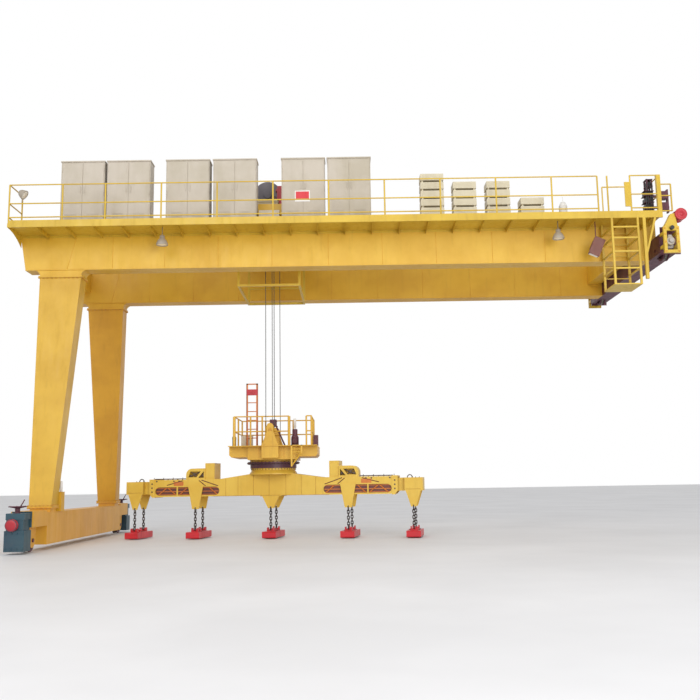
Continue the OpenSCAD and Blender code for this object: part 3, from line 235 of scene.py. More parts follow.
GIRDER_Y = 2.1
WEB = 0.225
girder_paint = enamel("sprayed_alkyd_enamel_yellow", "#DDB23A", "#D2A42A", "#9A7634")
deep_yellow_and_shade_paint = enamel("alkyd_enamel_deep_yellow_and_painted_shade", "#DAA92A", "#CF9C20", "#8A6428")
dress(girder_paint, "front_girder")
# The rear girder and the end ties take a deeper copy of the same yellow: painted shade for the shade they
# sit in.
dress(deep_yellow_and_shade_paint, "rear_girder", "end_ties")

# Butt welds of the webs
# Each web is made of eleven plates. The welds between them are capped flush and
# show as slightly raised beads under the paint, the first one slanted.
FILLET_Z = 0.021
seams = [(x, x) for x in (1.38, 2.74, 4.13, 5.54, 7.01, 8.42, 9.83, 11.3, 12.68, 14.1)] + [(0.2, 0.46)]
web_y = (-GIRDER_Y + WEB, -GIRDER_Y - WEB, GIRDER_Y - WEB, GIRDER_Y + WEB)
low = [[ground_x + foot, y, 0.02] for foot, top in seams for y in web_y]
high = [[ground_x + top, y, 1.03] for foot, top in seams for y in web_y]
fillet_y = (-1.8745, -2.3255, 1.8745, 2.3255)
fillets = rods([[ground_x - 0.86, y, FILLET_Z] for y in fillet_y], [[-0.24, y, FILLET_Z] for y in fillet_y],
               0.006, 6)
weld_paint = enamel("painted_weld_bead", "#DFA62C", "#CE9524", "#8A642C", rough=0.5)
piece("girder_welds", *join(rods(low, high, 0.005, 6), fillets), weld_paint, "crane", "girder_yellow",
      smooth=True)


# Legs and their bolted joints
# Tapered welded boxes of painted plate. Flanged end plates carry two rows of
# M24 hexagon bolts, and the paint is scuffed and dusty near the floor.
leg_paint = enamel("sprayed_enamel_leg", "#D5AA36", "#CA9E2C", "#8F6E38", wear=0.6, grime_z=ground_z + 1.3)
# The rear leg takes a darker copy of the leg yellow: painted shade.
rear_leg_shade_paint = enamel("sprayed_enamel_rear_leg_painted_shade", "#D39C26", "#C68F20", "#8A652A", wear=0.6,
                        grime_z=ground_z + 1.3)
foot_paint = enamel("sprayed_enamel_ground_beam", "#DEA638", "#D3992C", "#8F6A30", wear=0.35)
dress(leg_paint, "front_leg")
dress(rear_leg_shade_paint, "rear_leg")
dress(foot_paint, "ground_beam")


def bolts(centres, normal, across=0.036, rise=0.016, washer=0.004):
    """Hexagon heads on round washers, standing on a face: six-sided and twelve-sided short bars."""
    centres = np.atleast_2d(np.asarray(centres, float))
    way = np.asarray(normal, float)
    head = rods(centres + way * washer, centres + way * (washer + rise), across / math.sqrt(3), 6)
    disc = rods(centres - way * 0.002, centres + way * washer, across * 0.85, 12)
    return join(head, disc)


def ring_of_bolts(x0, x1, y, z, pitch):
    """Bolt places along the four edges of a rectangle 0.48 m wide, about one pitch apart."""
    xs = ground_x + np.linspace(x0, x1, int(round((x1 - x0) / pitch)) + 1)
    ys = y + np.linspace(-0.24, 0.24, int(round(0.48 / pitch)) + 1)
    edge = [[x, end, z] for x in xs for end in (ys[0], ys[-1])]
    return edge + [[x, inner, z] for inner in ys[1:-1] for x in (xs[0], xs[-1])]


FLANGES = 0.05
FOOT_Y = GIRDER_Y + 0.77
groups = []
for side in (-1, 1):
    foot = np.array(ring_of_bolts(-0.285, 0.285, side * FOOT_Y, ground_z + 1.025, 0.095))
    groups.append(bolts(ring_of_bolts(-0.515, 0.585, side * GIRDER_Y, -0.195, 0.11), (0, 0, -1)))
    groups.append(bolts(foot, (0, 0, 1)))
    groups.append(bolts(foot - [0, 0, FLANGES], (0, 0, -1)))
bolt_steel = enamel("painted_hexagon_bolts", "#D39B2A", "#B9842A", "#5F4A30", rough=0.45, wear=0.9)
piece("joint_bolts", *join(*groups), bolt_steel, "crane", "girder_yellow")


# Walkways and guard rails
# Pressed steel walkways on cut brackets, with welded tube rails, painted in the
# same enamel but a little deeper, and worn where hands and shoes touch them.
def slabs(boxes):
    """Rectangular plates from rows of two ends in X, two in Y and two in Z, each pair in any order."""
    rows = np.sort(np.asarray(boxes, float).reshape(-1, 3, 2), axis=2).reshape(-1, 6)
    pick = np.array([[0, 2, 4], [1, 2, 4], [1, 3, 4], [0, 3, 4], [0, 2, 5], [1, 2, 5], [1, 3, 5], [0, 3, 5]])
    quads = np.array([[0, 3, 2, 1], [4, 5, 6, 7], [0, 1, 5, 4], [1, 2, 6, 5], [2, 3, 7, 6], [3, 0, 4, 7]])
    faces = (quads[None] + 8 * np.arange(len(rows))[:, None, None]).reshape(-1, 4)
    return rows[:, pick].reshape(-1, 3), faces


rail_paint = enamel("brushed_enamel_rails", "#D2B038", "#C4A12C", "#7E6230", rough=0.38, wear=0.8)
dress(rail_paint, "front_walkway", "rear_walkway", "front_guard_rail", "rear_guard_rail", "access_cage")
walk_x0 = ground_x - 1.02
walk_x1 = -0.145
DECK_Z = 0.95
kick = [[walk_x0 + 0.02, walk_x1 - 0.102, s * 3.292, s * 3.298, 0.98, 1.06] for s in (-1, 1)]
piece("kick_plates", *slabs(kick), rail_paint, "crane", "frame_yellow")

# Chequer plate tread
# Raised lozenges stand 2 mm proud of the deck in a 60 mm pitch; at this distance
# they are bump on a thin skin that lies on the deck.
tread, tree, shader, where = blank("painted_chequer_plate")
turned = add(tree, "Mapping", {"Vector": where},
             {"Rotation": (0, 0, math.radians(45)), "Scale": (16, 16, 16)})
lozenge = add(tree, "TexChecker", {"Vector": turned}, {"Scale": 1.0})
dust = add(tree, "TexNoise", {"Vector": where}, {"Scale": 2.4, "Detail": 8.0, "Roughness": 0.7})
trodden = add(tree, "ValToRGB", {"Fac": dust}, stops=[(0.35, rgb("#7C6A4C")), (0.65, rgb("#C9952E"))])
raised = add(tree, "Bump", {"Height": lozenge.outputs["Fac"]}, {"Strength": 0.5, "Distance": 0.002})
connect(tree, shader, {"Base Color": trodden, "Normal": raised}, {"Roughness": 0.55})
decks = [[walk_x0 + 0.01, walk_x1 - 0.01, s * 2.36, s * 3.24, DECK_Z, DECK_Z + 0.003] for s in (-1, 1)]
piece("chequer_decks", *slabs(decks), tread, "crane", "frame_yellow")


# Control cabinets
# Folded sheet steel cabinets, powder coated in light pebble beige, with two
# doors each, swing handles, hinges, louvres and a bare plate on one door.
cabinet_paint = enamel("powder_coat_pebble_beige", "#BFB5A6", "#B3A996", "#8C816C", rough=0.5, wear=0.25,
                       metal="#8F877B")
dress(cabinet_paint, "control_cabinets")
CAB_W = 1.12
DOOR_W = CAB_W / 2 - 0.033
FRONT_Y = -2.78
DOOR = (ground_x, FRONT_Y - 0.014, DECK_Z)
handles = []
hinges = []
slots = []
for x0 in (0.12, 1.31, 2.84, 4.06, 5.83, 7.02):
    for x, handle, hinge in ((x0 + 0.025, DOOR_W - 0.045, 0), (x0 + CAB_W / 2 + 0.008, 0.045, DOOR_W)):
        handles.append([x + handle - 0.012, x + handle + 0.012, -0.02, 0, 1.0, 1.15])
        handles.append([x + handle - 0.02, x + handle + 0.02, -0.006, 0, 0.96, 1.19])
        hinges += [[x + hinge - 0.01, x + hinge + 0.01, -0.008, 0, z, z + 0.1] for z in (0.25, 0.9, 1.55)]
        slots += [[x + 0.12, x + DOOR_W - 0.12, -0.006, 0.001, z, z + 0.012]
                  for z in 0.2 + 0.026 * np.arange(9)]
piece("cabinet_handles", *join(slabs(handles), at=DOOR), cabinet_paint, "crane", "cabinet_beige")
piece("cabinet_hinges_louvres", *join(slabs(hinges + slots), at=DOOR), cabinet_paint, "crane",
      "cabinet_beige")
red_paint = enamel("signal_red_enamel", "#D5303A", "#C22630", "#6E2A28", rough=0.4, wear=0.6)
white_paint = enamel("white_enamel", "#E9E7E2", "#DDDAD2", "#9D978C", rough=0.45, wear=0.3)
plate = slabs([6.2, 6.54, -0.0095, -0.005, 0.71, 0.92])
rim = slabs([6.175, 6.565, -0.008, 0, 0.65, 0.945])
piece("bare_plate", *join(plate, at=DOOR), red_paint, "crane", "red_paint")
piece("bare_plate_rim", *join(rim, at=DOOR), white_paint, "crane", "cabinet_beige")

# Resistor boxes
# Folded sheet boxes in stacks, powder coated in cream. Each front has two panels
# with four long ribs, pressed outwards by 3 mm.
cream_paint = enamel("powder_coat_cream", "#D3CAB0", "#C8BEA3", "#948A70", rough=0.5, wear=0.25,
                     metal="#8F877B")
dress(cream_paint, "resistor_racks")
grille = [[x + dx, x + dx + 0.24, -0.003, 0.001, z, z + 0.014]
          for x, count in ((9.43, 6), (10.27, 5), (11.14, 5), (12.01, 3))
          for z in (0.07 + 0.228 * np.arange(count)[:, None] + 0.034 * np.arange(4)).ravel()
          for dx in (0.04, 0.32)]
piece("resistor_ribs", *join(slabs(grille), at=(ground_x, FRONT_Y, DECK_Z)), cream_paint, "crane",
      "cabinet_beige")


# Travel wheels and ground drives
# Cast steel wheels in maroon primer with a polished tread. The drive housings are
# welded and painted in machine teal, with a crimson motor cap and a hand wheel.
maroon_paint = enamel("maroon_primer_enamel", "#5E2C3A", "#4A2030", "#3A2A26", rough=0.46, wear=0.7)
teal_paint = enamel("machine_teal_enamel", "#2E505B", "#2A4453", "#2B3236", rough=0.45, wear=0.5,
                    grime_z=ground_z + 0.5)
crimson_paint = enamel("crimson_machine_enamel", "#B92A35", "#9E222E", "#5A2724", rough=0.4, wear=0.6)
dress(maroon_paint, "front_ground_wheel", "rear_ground_wheel", "front_runway_wheel", "rear_runway_wheel")
dress(maroon_paint, "trolley_wheels", "hoist_drive", "slewing_ring")
dress(teal_paint, "ground_drives")


def tube(rows, steps):
    """Quads between the neighbouring rings of a tube whose rings have steps points each."""
    i, j = np.meshgrid(np.arange(rows - 1), np.arange(steps), indexing="ij")
    near = i * steps
    far = near + steps
    k = (j + 1) % steps
    return np.stack([near + j, near + k, far + k, far + j], -1).reshape(-1, 4).tolist()


def revolve(profile, centre, axis, steps=32):
    """A turned part: P(s, a) = C + t(s) A + r(s) (cos a U + sin a V) for a profile of (r, t) rows."""
    rows = np.asarray(profile, float)
    along, u, v = frame_of(np.asarray(axis, float)[None])
    c, s = circle(steps)
    ring = c[:, None] * u + s[:, None] * v
    grid = rows[:, 0, None, None] * ring[None] + rows[:, 1, None, None] * along[None]
    return (np.asarray(centre, float) + grid).reshape(-1, 3), tube(len(rows), steps)


def points(x, y, z):
    """Points from arrays or single values of x, y and z."""
    return np.stack(np.broadcast_arrays(x, y, z), -1).astype(float)


UP = (0, 0, 1)
# Rolled bare steel shines in cloudy patches where it is rubbed.
steel_rim, tree, shader, where = blank("rolled_bare_steel")
cloud = add(tree, "TexNoise", {"Vector": where}, {"Scale": 14.0, "Detail": 6.0, "Roughness": 0.65})
tint = add(tree, "ValToRGB", {"Fac": cloud}, stops=[(0.35, rgb("#5F5750")), (0.68, rgb("#9A948C"))])
shine = add(tree, "MapRange", {"Value": cloud}, {"To Min": 0.3, "To Max": 0.6})
connect(tree, shader, {"Base Color": tint, "Roughness": shine}, {"Metallic": 0.85})
dress(steel_rim, "trolley_rails")
GROUND_Y = 3.83
RUNWAY_Y = 2.78
for body, hub in (("front_ground_wheel", (ground_x, -GROUND_Y, ground_z + 0.26)),
                  ("rear_ground_wheel", (ground_x, GROUND_Y, ground_z + 0.26)),
                  ("front_runway_wheel", (0, -RUNWAY_Y, 0.14)),
                  ("rear_runway_wheel", (0, RUNWAY_Y, 0.14))):
    band = revolve([(0.2395, -0.044), (0.2405, -0.044), (0.2405, 0.044), (0.2395, 0.044), (0.2395, -0.044)],
                   hub, (1, 0, 0), 48)
    piece(body + "_tread", *band, steel_rim, body, "worn_steel", smooth=True)
FOOT = (ground_x, 0, ground_z)
drive_bolts = []
caps = []
dishes = []
for side in (-1, 1):
    axis = (0, side, 0)
    face = [[x, side * 4.651, z] for x in (-0.19, -0.06, 0.06, 0.19) for z in (0.12, 0.46)]
    drive_bolts.append(bolts(face, axis))
    caps.append(revolve([(0.1, 0), (0.1315, 0), (0.1315, 0.088), (0.12, 0.1), (0.06, 0.103),
                         (0, 0.104)], (-0.06, side * 4.61, 0.64), axis, 36))
    for n in range(5):
        caps.append(revolve([(0.131, 0), (0.139, 0), (0.139, 0.01), (0.131, 0.01), (0.131, 0)],
                            (-0.06, side * (4.615 + 0.017 * n), 0.64), axis, 32))
    top = np.array([-0.02, side * 4.44, 1.01])
    dishes.append(revolve([(0, -0.001), (0.06, -0.001), (0.19, 0.026), (0.202, 0.029), (0.208, 0.037),
                           (0.202, 0.045), (0.19, 0.042), (0.06, 0.022), (0.03, 0.03), (0, 0.03)],
                          top, UP, 40))
    dishes.append(revolve([(0.062, -0.11), (0.062, -0.09), (0.0565, -0.085), (0.0565, 0)], top, UP, 24))
    c, s = circle(5, math.pi / 4)
    spokes = top + points(0.19 * c, 0.19 * s, 0.042)
    dishes.append(rods(np.tile(top + [0, 0, 0.024], (5, 1)), spokes, 0.012, 8))
    dishes.append(rods([top + [0.06, 0, 0.03]], [top + [0.15, 0, 0.19]], 0.013, 10))
piece("drive_bolts", *join(*drive_bolts, at=FOOT), teal_paint, "crane", "worn_steel")
piece("motor_caps", *join(*caps, at=FOOT), crimson_paint, "crane", "red_paint", smooth=True)
piece("hand_wheels", *join(*dishes, at=FOOT), maroon_paint, "crane", "maroon_paint", smooth=True)

# Post box and lamp
# A folded box stands on the ground beam beside the front leg. On its lid are a
# white signal lamp and the maroon clamp that holds its cable.
post = slabs([[0.038, 0.34, -2.587, -2.343, 0.881, 1.342], [0.03, 0.348, -2.595, -2.335, 1.342, 1.352]])
warning = revolve([(0.03, 0), (0.036, 0.004), (0.036, 0.24), (0.03, 0.262), (0, 0.266)],
                  (0.3, -2.5, 1.351), UP, 24)
clamp = slabs([[0.17, 0.24, -2.53, -2.46, 1.351, 1.59], [0.23, 0.27, -2.51, -2.49, 1.48, 1.5]])
piece("post_box_skin", *join(post, at=FOOT), deep_yellow_and_shade_paint, "crane", "girder_yellow")
piece("post_lamp", *join(warning, at=FOOT), white_paint, "crane", "cabinet_beige", smooth=True)
piece("post_lamp_clamp", *join(clamp, at=FOOT), maroon_paint, "crane", "maroon_paint")


# Runway carriage, drives and buffers
# A box carriage whose dark maroon is painted shade for its shaded side. A thick square guard frame stands
# round each grey foot motor, with a dark maroon sheet behind it as painted shade, and a crimson cable reel
# sits on a cut bracket beside it.
grey_paint = enamel("grey_hammer_enamel", "#B4AEA6", "#A39D96", "#6B645C", rough=0.42, wear=0.5)
# Moulded black nylon is matt, with a fine grain from its mould.
black, tree, shader, where = blank("black_moulded_nylon")
grain = add(tree, "TexNoise", {"Vector": where}, {"Scale": 300.0, "Detail": 2.0})
grit = add(tree, "Bump", {"Height": grain}, {"Strength": 0.2, "Distance": 0.0005})
connect(tree, shader, {"Normal": grit}, {"Base Color": rgb("#232325"), "Roughness": 0.5})
# The carriage's dark maroon is painted shade for its side.
dress(maroon_paint, "runway_carriage")
dress(rail_paint, "runway_drives")
dress(black, "buffers")
motors = []
reels = []
frame_bolts = []
shade_sheets = []
for side in (-1, 1):
    axis = (0, side, 0)
    motors.append(revolve([(0, 0.282), (0.05, 0.282), (0.056, 0.276), (0.056, 0.222), (0.098, 0.218),
                           (0.107, 0.205), (0.107, 0.04), (0.12, 0.036), (0.12, 0)],
                          (-0.0175, side * 3.151, 0.25), axis, 36))
    c, s = circle(30)
    ribs = points(-0.0175 + 0.11 * c, side * 3.2, 0.25 + 0.11 * s)
    motors.append(rods(ribs, ribs + [0, side * 0.145, 0], 0.006, 4))
    motors.append(slabs([[-0.124, 0.089, side * 3.151, side * 3.242, 0.098, 0.402],
                         [-0.06, 0.03, side * 3.22, side * 3.32, 0.34, 0.415]]))
    reels.append(revolve([(0, -0.002), (0.1, -0.002), (0.147, 0), (0.152, 0.014), (0.152, 0.026),
                          (0.1465, 0.032), (0.1465, 0.268), (0.152, 0.274), (0.152, 0.296), (0.147, 0.306),
                          (0.11, 0.309), (0.1, 0.305), (0.05, 0.305), (0.045, 0.316), (0, 0.318)],
                         (0.236, side * 3.208, 0.895), axis, 40))
    # A dark maroon sheet behind each motor is painted shade inside the guard frame.
    shade_sheets.append([-0.2, 0.29, side * 3.152, side * 3.158, -0.05, 0.66])
    corner = [[x, side * 3.451, z] for x in (-0.178, 0.142) for z in (-0.042, 0.2, 0.4, 0.55)]
    frame_bolts.append(bolts(corner, axis, 0.03, 0.013))
piece("runway_motors", *join(*motors), grey_paint, "crane", "worn_steel")
piece("cable_reels", *join(*reels), crimson_paint, "crane", "red_paint", smooth=True)
piece("guard_frame_bolts", *join(*frame_bolts), bolt_steel, "crane", "worn_steel")
piece("motor_shade_sheets", *slabs(shade_sheets), maroon_paint, "crane", "maroon_paint")

# Collector stand
# A mast of maroon flats at the runway end of the front walkway carries stacked
# junction plates, a bundle of short looms and two arms out over the carriage.
mast = [[x, x + 0.035, y, y + 0.035, 0.951, 2.06] for x in (-0.33, -0.205) for y in (-2.82, -2.64)]
mast += [[-0.34, -0.16, -2.83, -2.6, z, z + 0.012] for z in (0.99, 1.86, 2.04)]
mast += [[-0.42, -0.16, -2.86, -2.6, z, z + 0.012] for z in (1.24, 1.42, 1.6, 1.72)]
mast += [[-0.2, 0.27, -2.7, -2.65, z, z + 0.06] for z in (1.3, 1.6)]
mast += [[0.02, 0.2, -2.78, -2.6, z, z + 0.2] for z in (1.24, 1.54)]
mast += [[0.215, 0.25, -2.74, -2.62, 1.18, 1.8]]
stays = rods([[-0.32, -2.83, 0.97], [-0.19, -2.83, 1.25]], [[-0.19, -2.83, 1.25], [-0.32, -2.83, 1.62]],
             0.013)
piece("collector_stand", *join(slabs(mast), stays), maroon_paint, "crane", "maroon_paint")
blocks = [[-0.39, -0.2, -2.84, -2.62, *ends] for ends in ((1.252, 1.372), (1.432, 1.542), (1.612, 1.692))]
blocks += [[-0.32, -0.18, -2.8, -2.63, 1.872, 1.98], [-0.34, -0.17, -2.83, -2.62, 1.002, 1.13]]
loom_low = points(np.linspace(-0.38, -0.22, 4), -2.87, 1.16)
loom = rods(loom_low, loom_low + [0.03, 0.05, 0.78], 0.012)
piece("collector_blocks", *join(slabs(blocks), loom), black, "crane", "black_rubber")


# Work lamps
# Spun aluminium bell reflectors hang below the walkway and a maroon flood light
# leans beside the access cage. A hand lamp stands on the rail, a siren on the deck.
def tilt(part, spot, degrees):
    """Turns points about the Y axis by an angle and moves them to spot."""
    a = math.radians(degrees)
    turn = np.array([[math.cos(a), 0, math.sin(a)], [0, 1, 0], [-math.sin(a), 0, math.cos(a)]])
    return np.asarray(part[0], float) @ turn.T + np.asarray(spot, float), part[1]


ORIGIN = (0, 0, 0)
lamp_grey = enamel("spun_aluminium_reflector", "#A79C8C", "#968B7C", "#5E574E", rough=0.36, wear=0.4)
brown_paint = enamel("maroon_lamp_enamel", "#7B4A3C", "#683C34", "#3C2C26", rough=0.42, wear=0.5)
# Etched lamp glass is milky and smooth, with a soft sheen.
glass, tree, shader, where = blank("frosted_lamp_glass")
frost = add(tree, "TexNoise", {"Vector": where}, {"Scale": 120.0, "Detail": 2.0})
etched = add(tree, "Bump", {"Height": frost}, {"Strength": 0.15, "Distance": 0.001})
connect(tree, shader, {"Normal": etched},
        {"Base Color": rgb("#F1EDE0"), "Roughness": 0.18, "Coat Weight": 0.5})
bells = []
lenses = []
for lamp_x in (ground_x + 2.79, ground_x + 12.9):
    hang = (lamp_x, -2.9, 0.47)
    bells.append(revolve([(0.118, 0.02), (0.132, 0.001), (0.15, 0), (0.152, 0.008), (0.141, 0.058),
                          (0.118, 0.108), (0.088, 0.15), (0.056, 0.18), (0.056, 0.25), (0.03, 0.26),
                          (0.012, 0.268), (0.012, 0.468), (0, 0.468)], hang, UP, 36))
    c, s = circle(12)
    fin = points(lamp_x + 0.055 * c, -2.9 + 0.055 * s, 0.655)
    bells.append(rods(fin, fin + [0, 0, 0.062], 0.007, 4))
    lenses.append(revolve([(0, 0.004), (0.06, 0.002), (0.115, 0.012), (0.13, 0.02), (0.13, 0.03),
                           (0, 0.03)], hang, UP, 32))
lamp_x = ground_x - 0.68
hand_turn = ((lamp_x, -3.275, 1.76), 125.0)
bells.append(tilt(revolve([(0, -0.08), (0.06, -0.08), (0.08, -0.055), (0.095, -0.03), (0.112, 0.02),
                           (0.127, 0.062), (0.127, 0.08), (0.115, 0.081), (0.1, 0.05)], ORIGIN, UP, 32),
                  *hand_turn))
lenses.append(tilt(revolve([(0.116, 0.066), (0.08, 0.076), (0, 0.08)], ORIGIN, UP, 28), *hand_turn))
bells.append(rods([lamp_x, -3.275, 1.517], [lamp_x, -3.275, 1.725], 0.012, 12))
sounder = [revolve([(0, 0), (0.11, 0), (0.11, 0.036), (0.1, 0.042), (0.062, 0.06), (0.06, 0.2),
                    (0.09, 0.226), (0.1, 0.24), (0.1, 0.5), (0.092, 0.53), (0.06, 0.596), (0, 0.6)],
                   ORIGIN, UP, 32)]
for n in range(9):
    sounder.append(revolve([(0.099, 0), (0.106, 0.002), (0.106, 0.014), (0.099, 0.018), (0.099, 0)],
                           (0, 0, 0.25 + 0.028 * n), UP, 28))
sounder.append(rods([0, 0, 0.59], [0, 0, 0.74], 0.008))
lean_x = ground_x + 13.865
lean = ((lean_x, -2.9, 0.247), 24.0)
case = [[-0.13, 0.13, -0.04, 0.09, -0.23, 0.23], [-0.14, 0.14, -0.048, -0.038, -0.24, 0.24],
        [-0.09, 0.09, 0.09, 0.14, -0.16, 0.16], [-0.145, -0.13, -0.01, 0.06, -0.12, 0.12],
        [0.13, 0.145, -0.01, 0.06, -0.12, 0.12]]
case += [[-0.12, 0.12, 0.09, 0.105, z, z + 0.012] for z in np.arange(-0.21, 0.21, 0.045)]
rim_spots = [[x, -0.048, z] for x in (-0.12, 0.12) for z in (-0.22, 0, 0.22)]
flood = join(tilt(slabs(case), *lean), rods([lean_x, -2.86, 0.247], [lean_x, -2.86, 0.938], 0.015, 12),
             tilt(bolts(rim_spots, (0, -1, 0), 0.02), *lean))
lenses.append(tilt(slabs([-0.11, 0.11, -0.03, 0.08, -0.236, -0.228]), *lean))
lamp_bells = piece("lamp_bells", *join(*bells), lamp_grey, "crane", "worn_steel", smooth=True)
lamp_lenses = piece("lamp_lenses", *join(*lenses), glass, "crane", "cabinet_beige")
sirens = piece("siren", *join(*sounder, at=(ground_x + 13.15, -2.56, DECK_Z)), white_paint, "crane",
               "cabinet_beige", smooth=True)
floods = piece("flood_light", *flood, brown_paint, "crane", "maroon_paint")
for made in (lamp_bells, lamp_lenses, sirens, floods):
    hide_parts("work_lamps")


# Trolley, rope drum and hoist
# A welded frame with a grooved cast drum, a gearbox with a split flange and a
# foot-mounted motor with cooling fins. The falls are galvanised wire rope.
dress(girder_paint, "trolley_frame")
dress(rail_paint, "trolley_cage")
# Galvanised wire rope is oily grey, with dark grooves between its wires.
rope, tree, shader, where = blank("galvanised_wire_rope")
strands = add(tree, "TexWave", {"Vector": where}, {"Scale": 30.0, "Distortion": 1.0},
              bands_direction="DIAGONAL")
wires = strands.outputs["Fac"]
oiled = add(tree, "ValToRGB", {"Fac": wires}, stops=[(0.2, rgb("#2F2C2A")), (0.8, rgb("#6F6B67"))])
twist = add(tree, "Bump", {"Height": wires}, {"Strength": 0.6, "Distance": 0.003})
connect(tree, shader, {"Base Color": oiled, "Normal": twist}, {"Metallic": 0.6, "Roughness": 0.5})
dress(rope, "rope_drum")
trolley_x = ground_x + 5.36
FRAME_TOP = 1.7903
DRUM = (trolley_x + 0.156, 0, FRAME_TOP + 0.35)
flanges = slabs([[-0.285, 0.365, 1.406, 2.1, -0.012, 0.012], [-0.29, 0.37, 1.406, 2.1, -0.35, -0.32]])
piece("gearbox_flanges", *join(flanges, at=DRUM), maroon_paint, "trolley", "maroon_paint")
tops = bolts([[x, y, 0.012] for x in (-0.273, 0.353) for y in (1.472, 1.662, 1.852, 2.042)], UP)
piece("gearbox_bolts", *join(tops, at=DRUM), bolt_steel, "trolley", "worn_steel")
c, s = circle(26)
fins = points(-0.74, 1.81 + 0.156 * c, 0.156 * s - 0.1)
piece("motor_fins", *join(rods(fins, fins + [0.42, 0, 0], 0.009, 4), at=DRUM), maroon_paint, "trolley",
      "maroon_paint")
cowl = revolve([(0, -0.004), (0.158, -0.004), (0.168, 0.01), (0.168, 0.1), (0.15, 0.1)],
               (-0.775, 1.81, -0.1), (1, 0, 0), 32)
piece("motor_cowl", *join(cowl, at=DRUM), black, "trolley", "black_rubber", smooth=True)

# Brake of the rope drum
# A grey disc cover stands over the front end of the drum, on a cream cable box
# with a stepped lid. Beside it is the red thruster of the brake.
BRAKE = (trolley_x, 0, FRAME_TOP)
disc = revolve([(0, 0), (0.36, 0), (0.37, 0.01), (0.37, 0.12), (0.36, 0.13), (0.12, 0.13), (0.11, 0.16),
                (0, 0.16)], (-0.03, -1.14, 0.5397), (0, -1, 0), 48)
box = slabs([[-0.35, 0.27, -1.5, -1.2, -0.01, 0.25], [-0.37, 0.29, -1.52, -1.18, 0.25, 0.27],
             [-0.33, 0.25, -1.48, -1.14, 0.27, 0.33]])
thruster = slabs([[0.29, 0.43, -1.42, -1.2, -0.01, 0.36], [0.24, 0.4, -1.4, -1.22, 0.36, 0.74],
                  [0.2, 0.3, -1.38, -1.24, 0.6, 0.66]])
disc_paint = enamel("dark_grey_machine_enamel", "#6A656C", "#5B575E", "#3C3838", rough=0.42, wear=0.5)
piece("brake_disc_cover", *join(disc, at=BRAKE), disc_paint, "trolley", "worn_steel")
piece("brake_cable_box", *join(box, at=BRAKE), cream_paint, "trolley", "cabinet_beige")
piece("brake_thruster", *join(thruster, at=BRAKE), crimson_paint, "trolley", "red_paint")

# Rope falls
# Four falls of six-strand wire rope run from the trolley to the sheaves of the
# hanger. They shorten as the hanger rises.
ROPE_R = 0.011
STRAND_R = 0.0037
LAY = 0.144


def wire_rope(x, y, z0, z1):
    """Six strands round a fall: P(k, z, a) = (x, y, z) + (R - r) (cos h, sin h, 0) + r (cos a, sin a, 0),
    with h = 2 pi z / lay + k pi / 3."""
    z = np.linspace(z0, z1, int((z1 - z0) / LAY * 4))
    c, s = circle(5)
    strands = []
    for k in range(6):
        h = 2 * math.pi * z / LAY + k * math.pi / 3
        middle = points(x + (ROPE_R - STRAND_R) * np.cos(h), y + (ROPE_R - STRAND_R) * np.sin(h), z)
        grid = (middle[:, None] + STRAND_R * points(c, s, 0)[None]).reshape(-1, 3)
        ends = [[4, 3, 2, 1, 0], list(range(len(grid) - 5, len(grid)))]
        strands.append((grid, tube(len(z), 5) + ends))
    return join(*strands)


rope_low, rope_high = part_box("hoist_ropes")
falls = [wire_rope(x, y, rope_low[2], rope_high[2]) for x in (rope_low[0] + ROPE_R, rope_high[0] - ROPE_R)
         for y in (rope_low[1] + ROPE_R, rope_high[1] - ROPE_R)]
rope_falls = model("rope_falls", *join(*falls), rope, smooth=True)
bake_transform(rope_falls)
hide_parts("hoist_ropes")


# Hanger platform
# A welded box platform on four rope falls, with bell-shaped sheave cheeks, a tube
# rail and seams every few hundred millimetres. Keeper plates hold the sheave pins.
hanger_paint = enamel("sprayed_enamel_hanger", "#D9AC3A", "#CC9D2E", "#84592A", rough=0.4, wear=0.9)
dress(hanger_paint, "hanger_platform", "hanger_rail", "sheave_blocks")
HANGER_Z = ground_z + 2.48
HANGER = (trolley_x, 0, HANGER_Z)
seams = []
keepers = []
pin_ends = []
for s in (-1, 1):
    seams += [[x - 0.005, x + 0.005, s * 0.9 - 0.004, s * 0.9 + 0.004, -0.3597, -0.03]
              for x in (-0.32, 0, 0.36)]
    seams.append([-0.62, 0.7, s * 0.9 - 0.005, s * 0.9 + 0.005, -0.03, -0.02])
    seams += [[x0, x1, s * 0.84 - 0.004, s * 0.84 + 0.004, -0.296, -0.288]
              for x0, x1 in ((-1.05, -0.69), (0.77, 1.19))]
    keepers.append([-0.055, 0.055, s * 1.075, s * 1.083, 0.385, 0.415])
    pin_ends.append(bolts([[x, s * 1.083, 0.4] for x in (-0.042, 0.042)], (0, s, 0), 0.02, 0.01, 0.002))
    pin_ends.append(revolve([(0.033, 0), (0.033, 0.014), (0.028, 0.018), (0, 0.018)],
                            (0, s * 1.076, 0.44), (0, s, 0), 24))
seams += [[x - 0.006, x + 0.006, y - 0.006, y + 0.006, -0.235, -0.025] for x in (-1.116, 1.256)
          for y in (-0.55, 0, 0.55)]
piece("hanger_welds", *join(slabs(seams), at=HANGER), weld_paint, "hanger", "frame_yellow")
piece("pin_keepers", *join(slabs(keepers), *pin_ends, at=HANGER), bolt_steel, "hanger", "worn_steel")
gables = slabs([[-0.23, 0.23, s * 1.068 - 0.006, s * 1.068 + 0.006, -0.02, 0.36] for s in (-1, 1)])
upper = gables[0][:, 2] > 0.0
gables[0][upper, 0] *= 0.4
piece("sheave_gables", *join(gables, at=HANGER), hanger_paint, "hanger", "frame_yellow")
guide = slabs([[-0.09, 0.09, -0.12, 0.12, 0.58, 0.76], [-0.1, 0.1, -0.13, 0.13, 0.7, 0.712],
               [-0.12, 0.12, -0.05, 0.05, 0.56, 0.584]])
stay_feet = [[x, y, -0.005] for x in (-0.34, 0.34) for y in (-0.1, 0.1)]
stay_tops = [[x, y, 0.6] for x in (-0.07, 0.07) for y in (-0.1, 0.1)]
piece("cable_guide_stand", *join(guide, rods(stay_feet, stay_tops, 0.018, 4), at=HANGER), maroon_paint,
      "hanger", "maroon_paint")

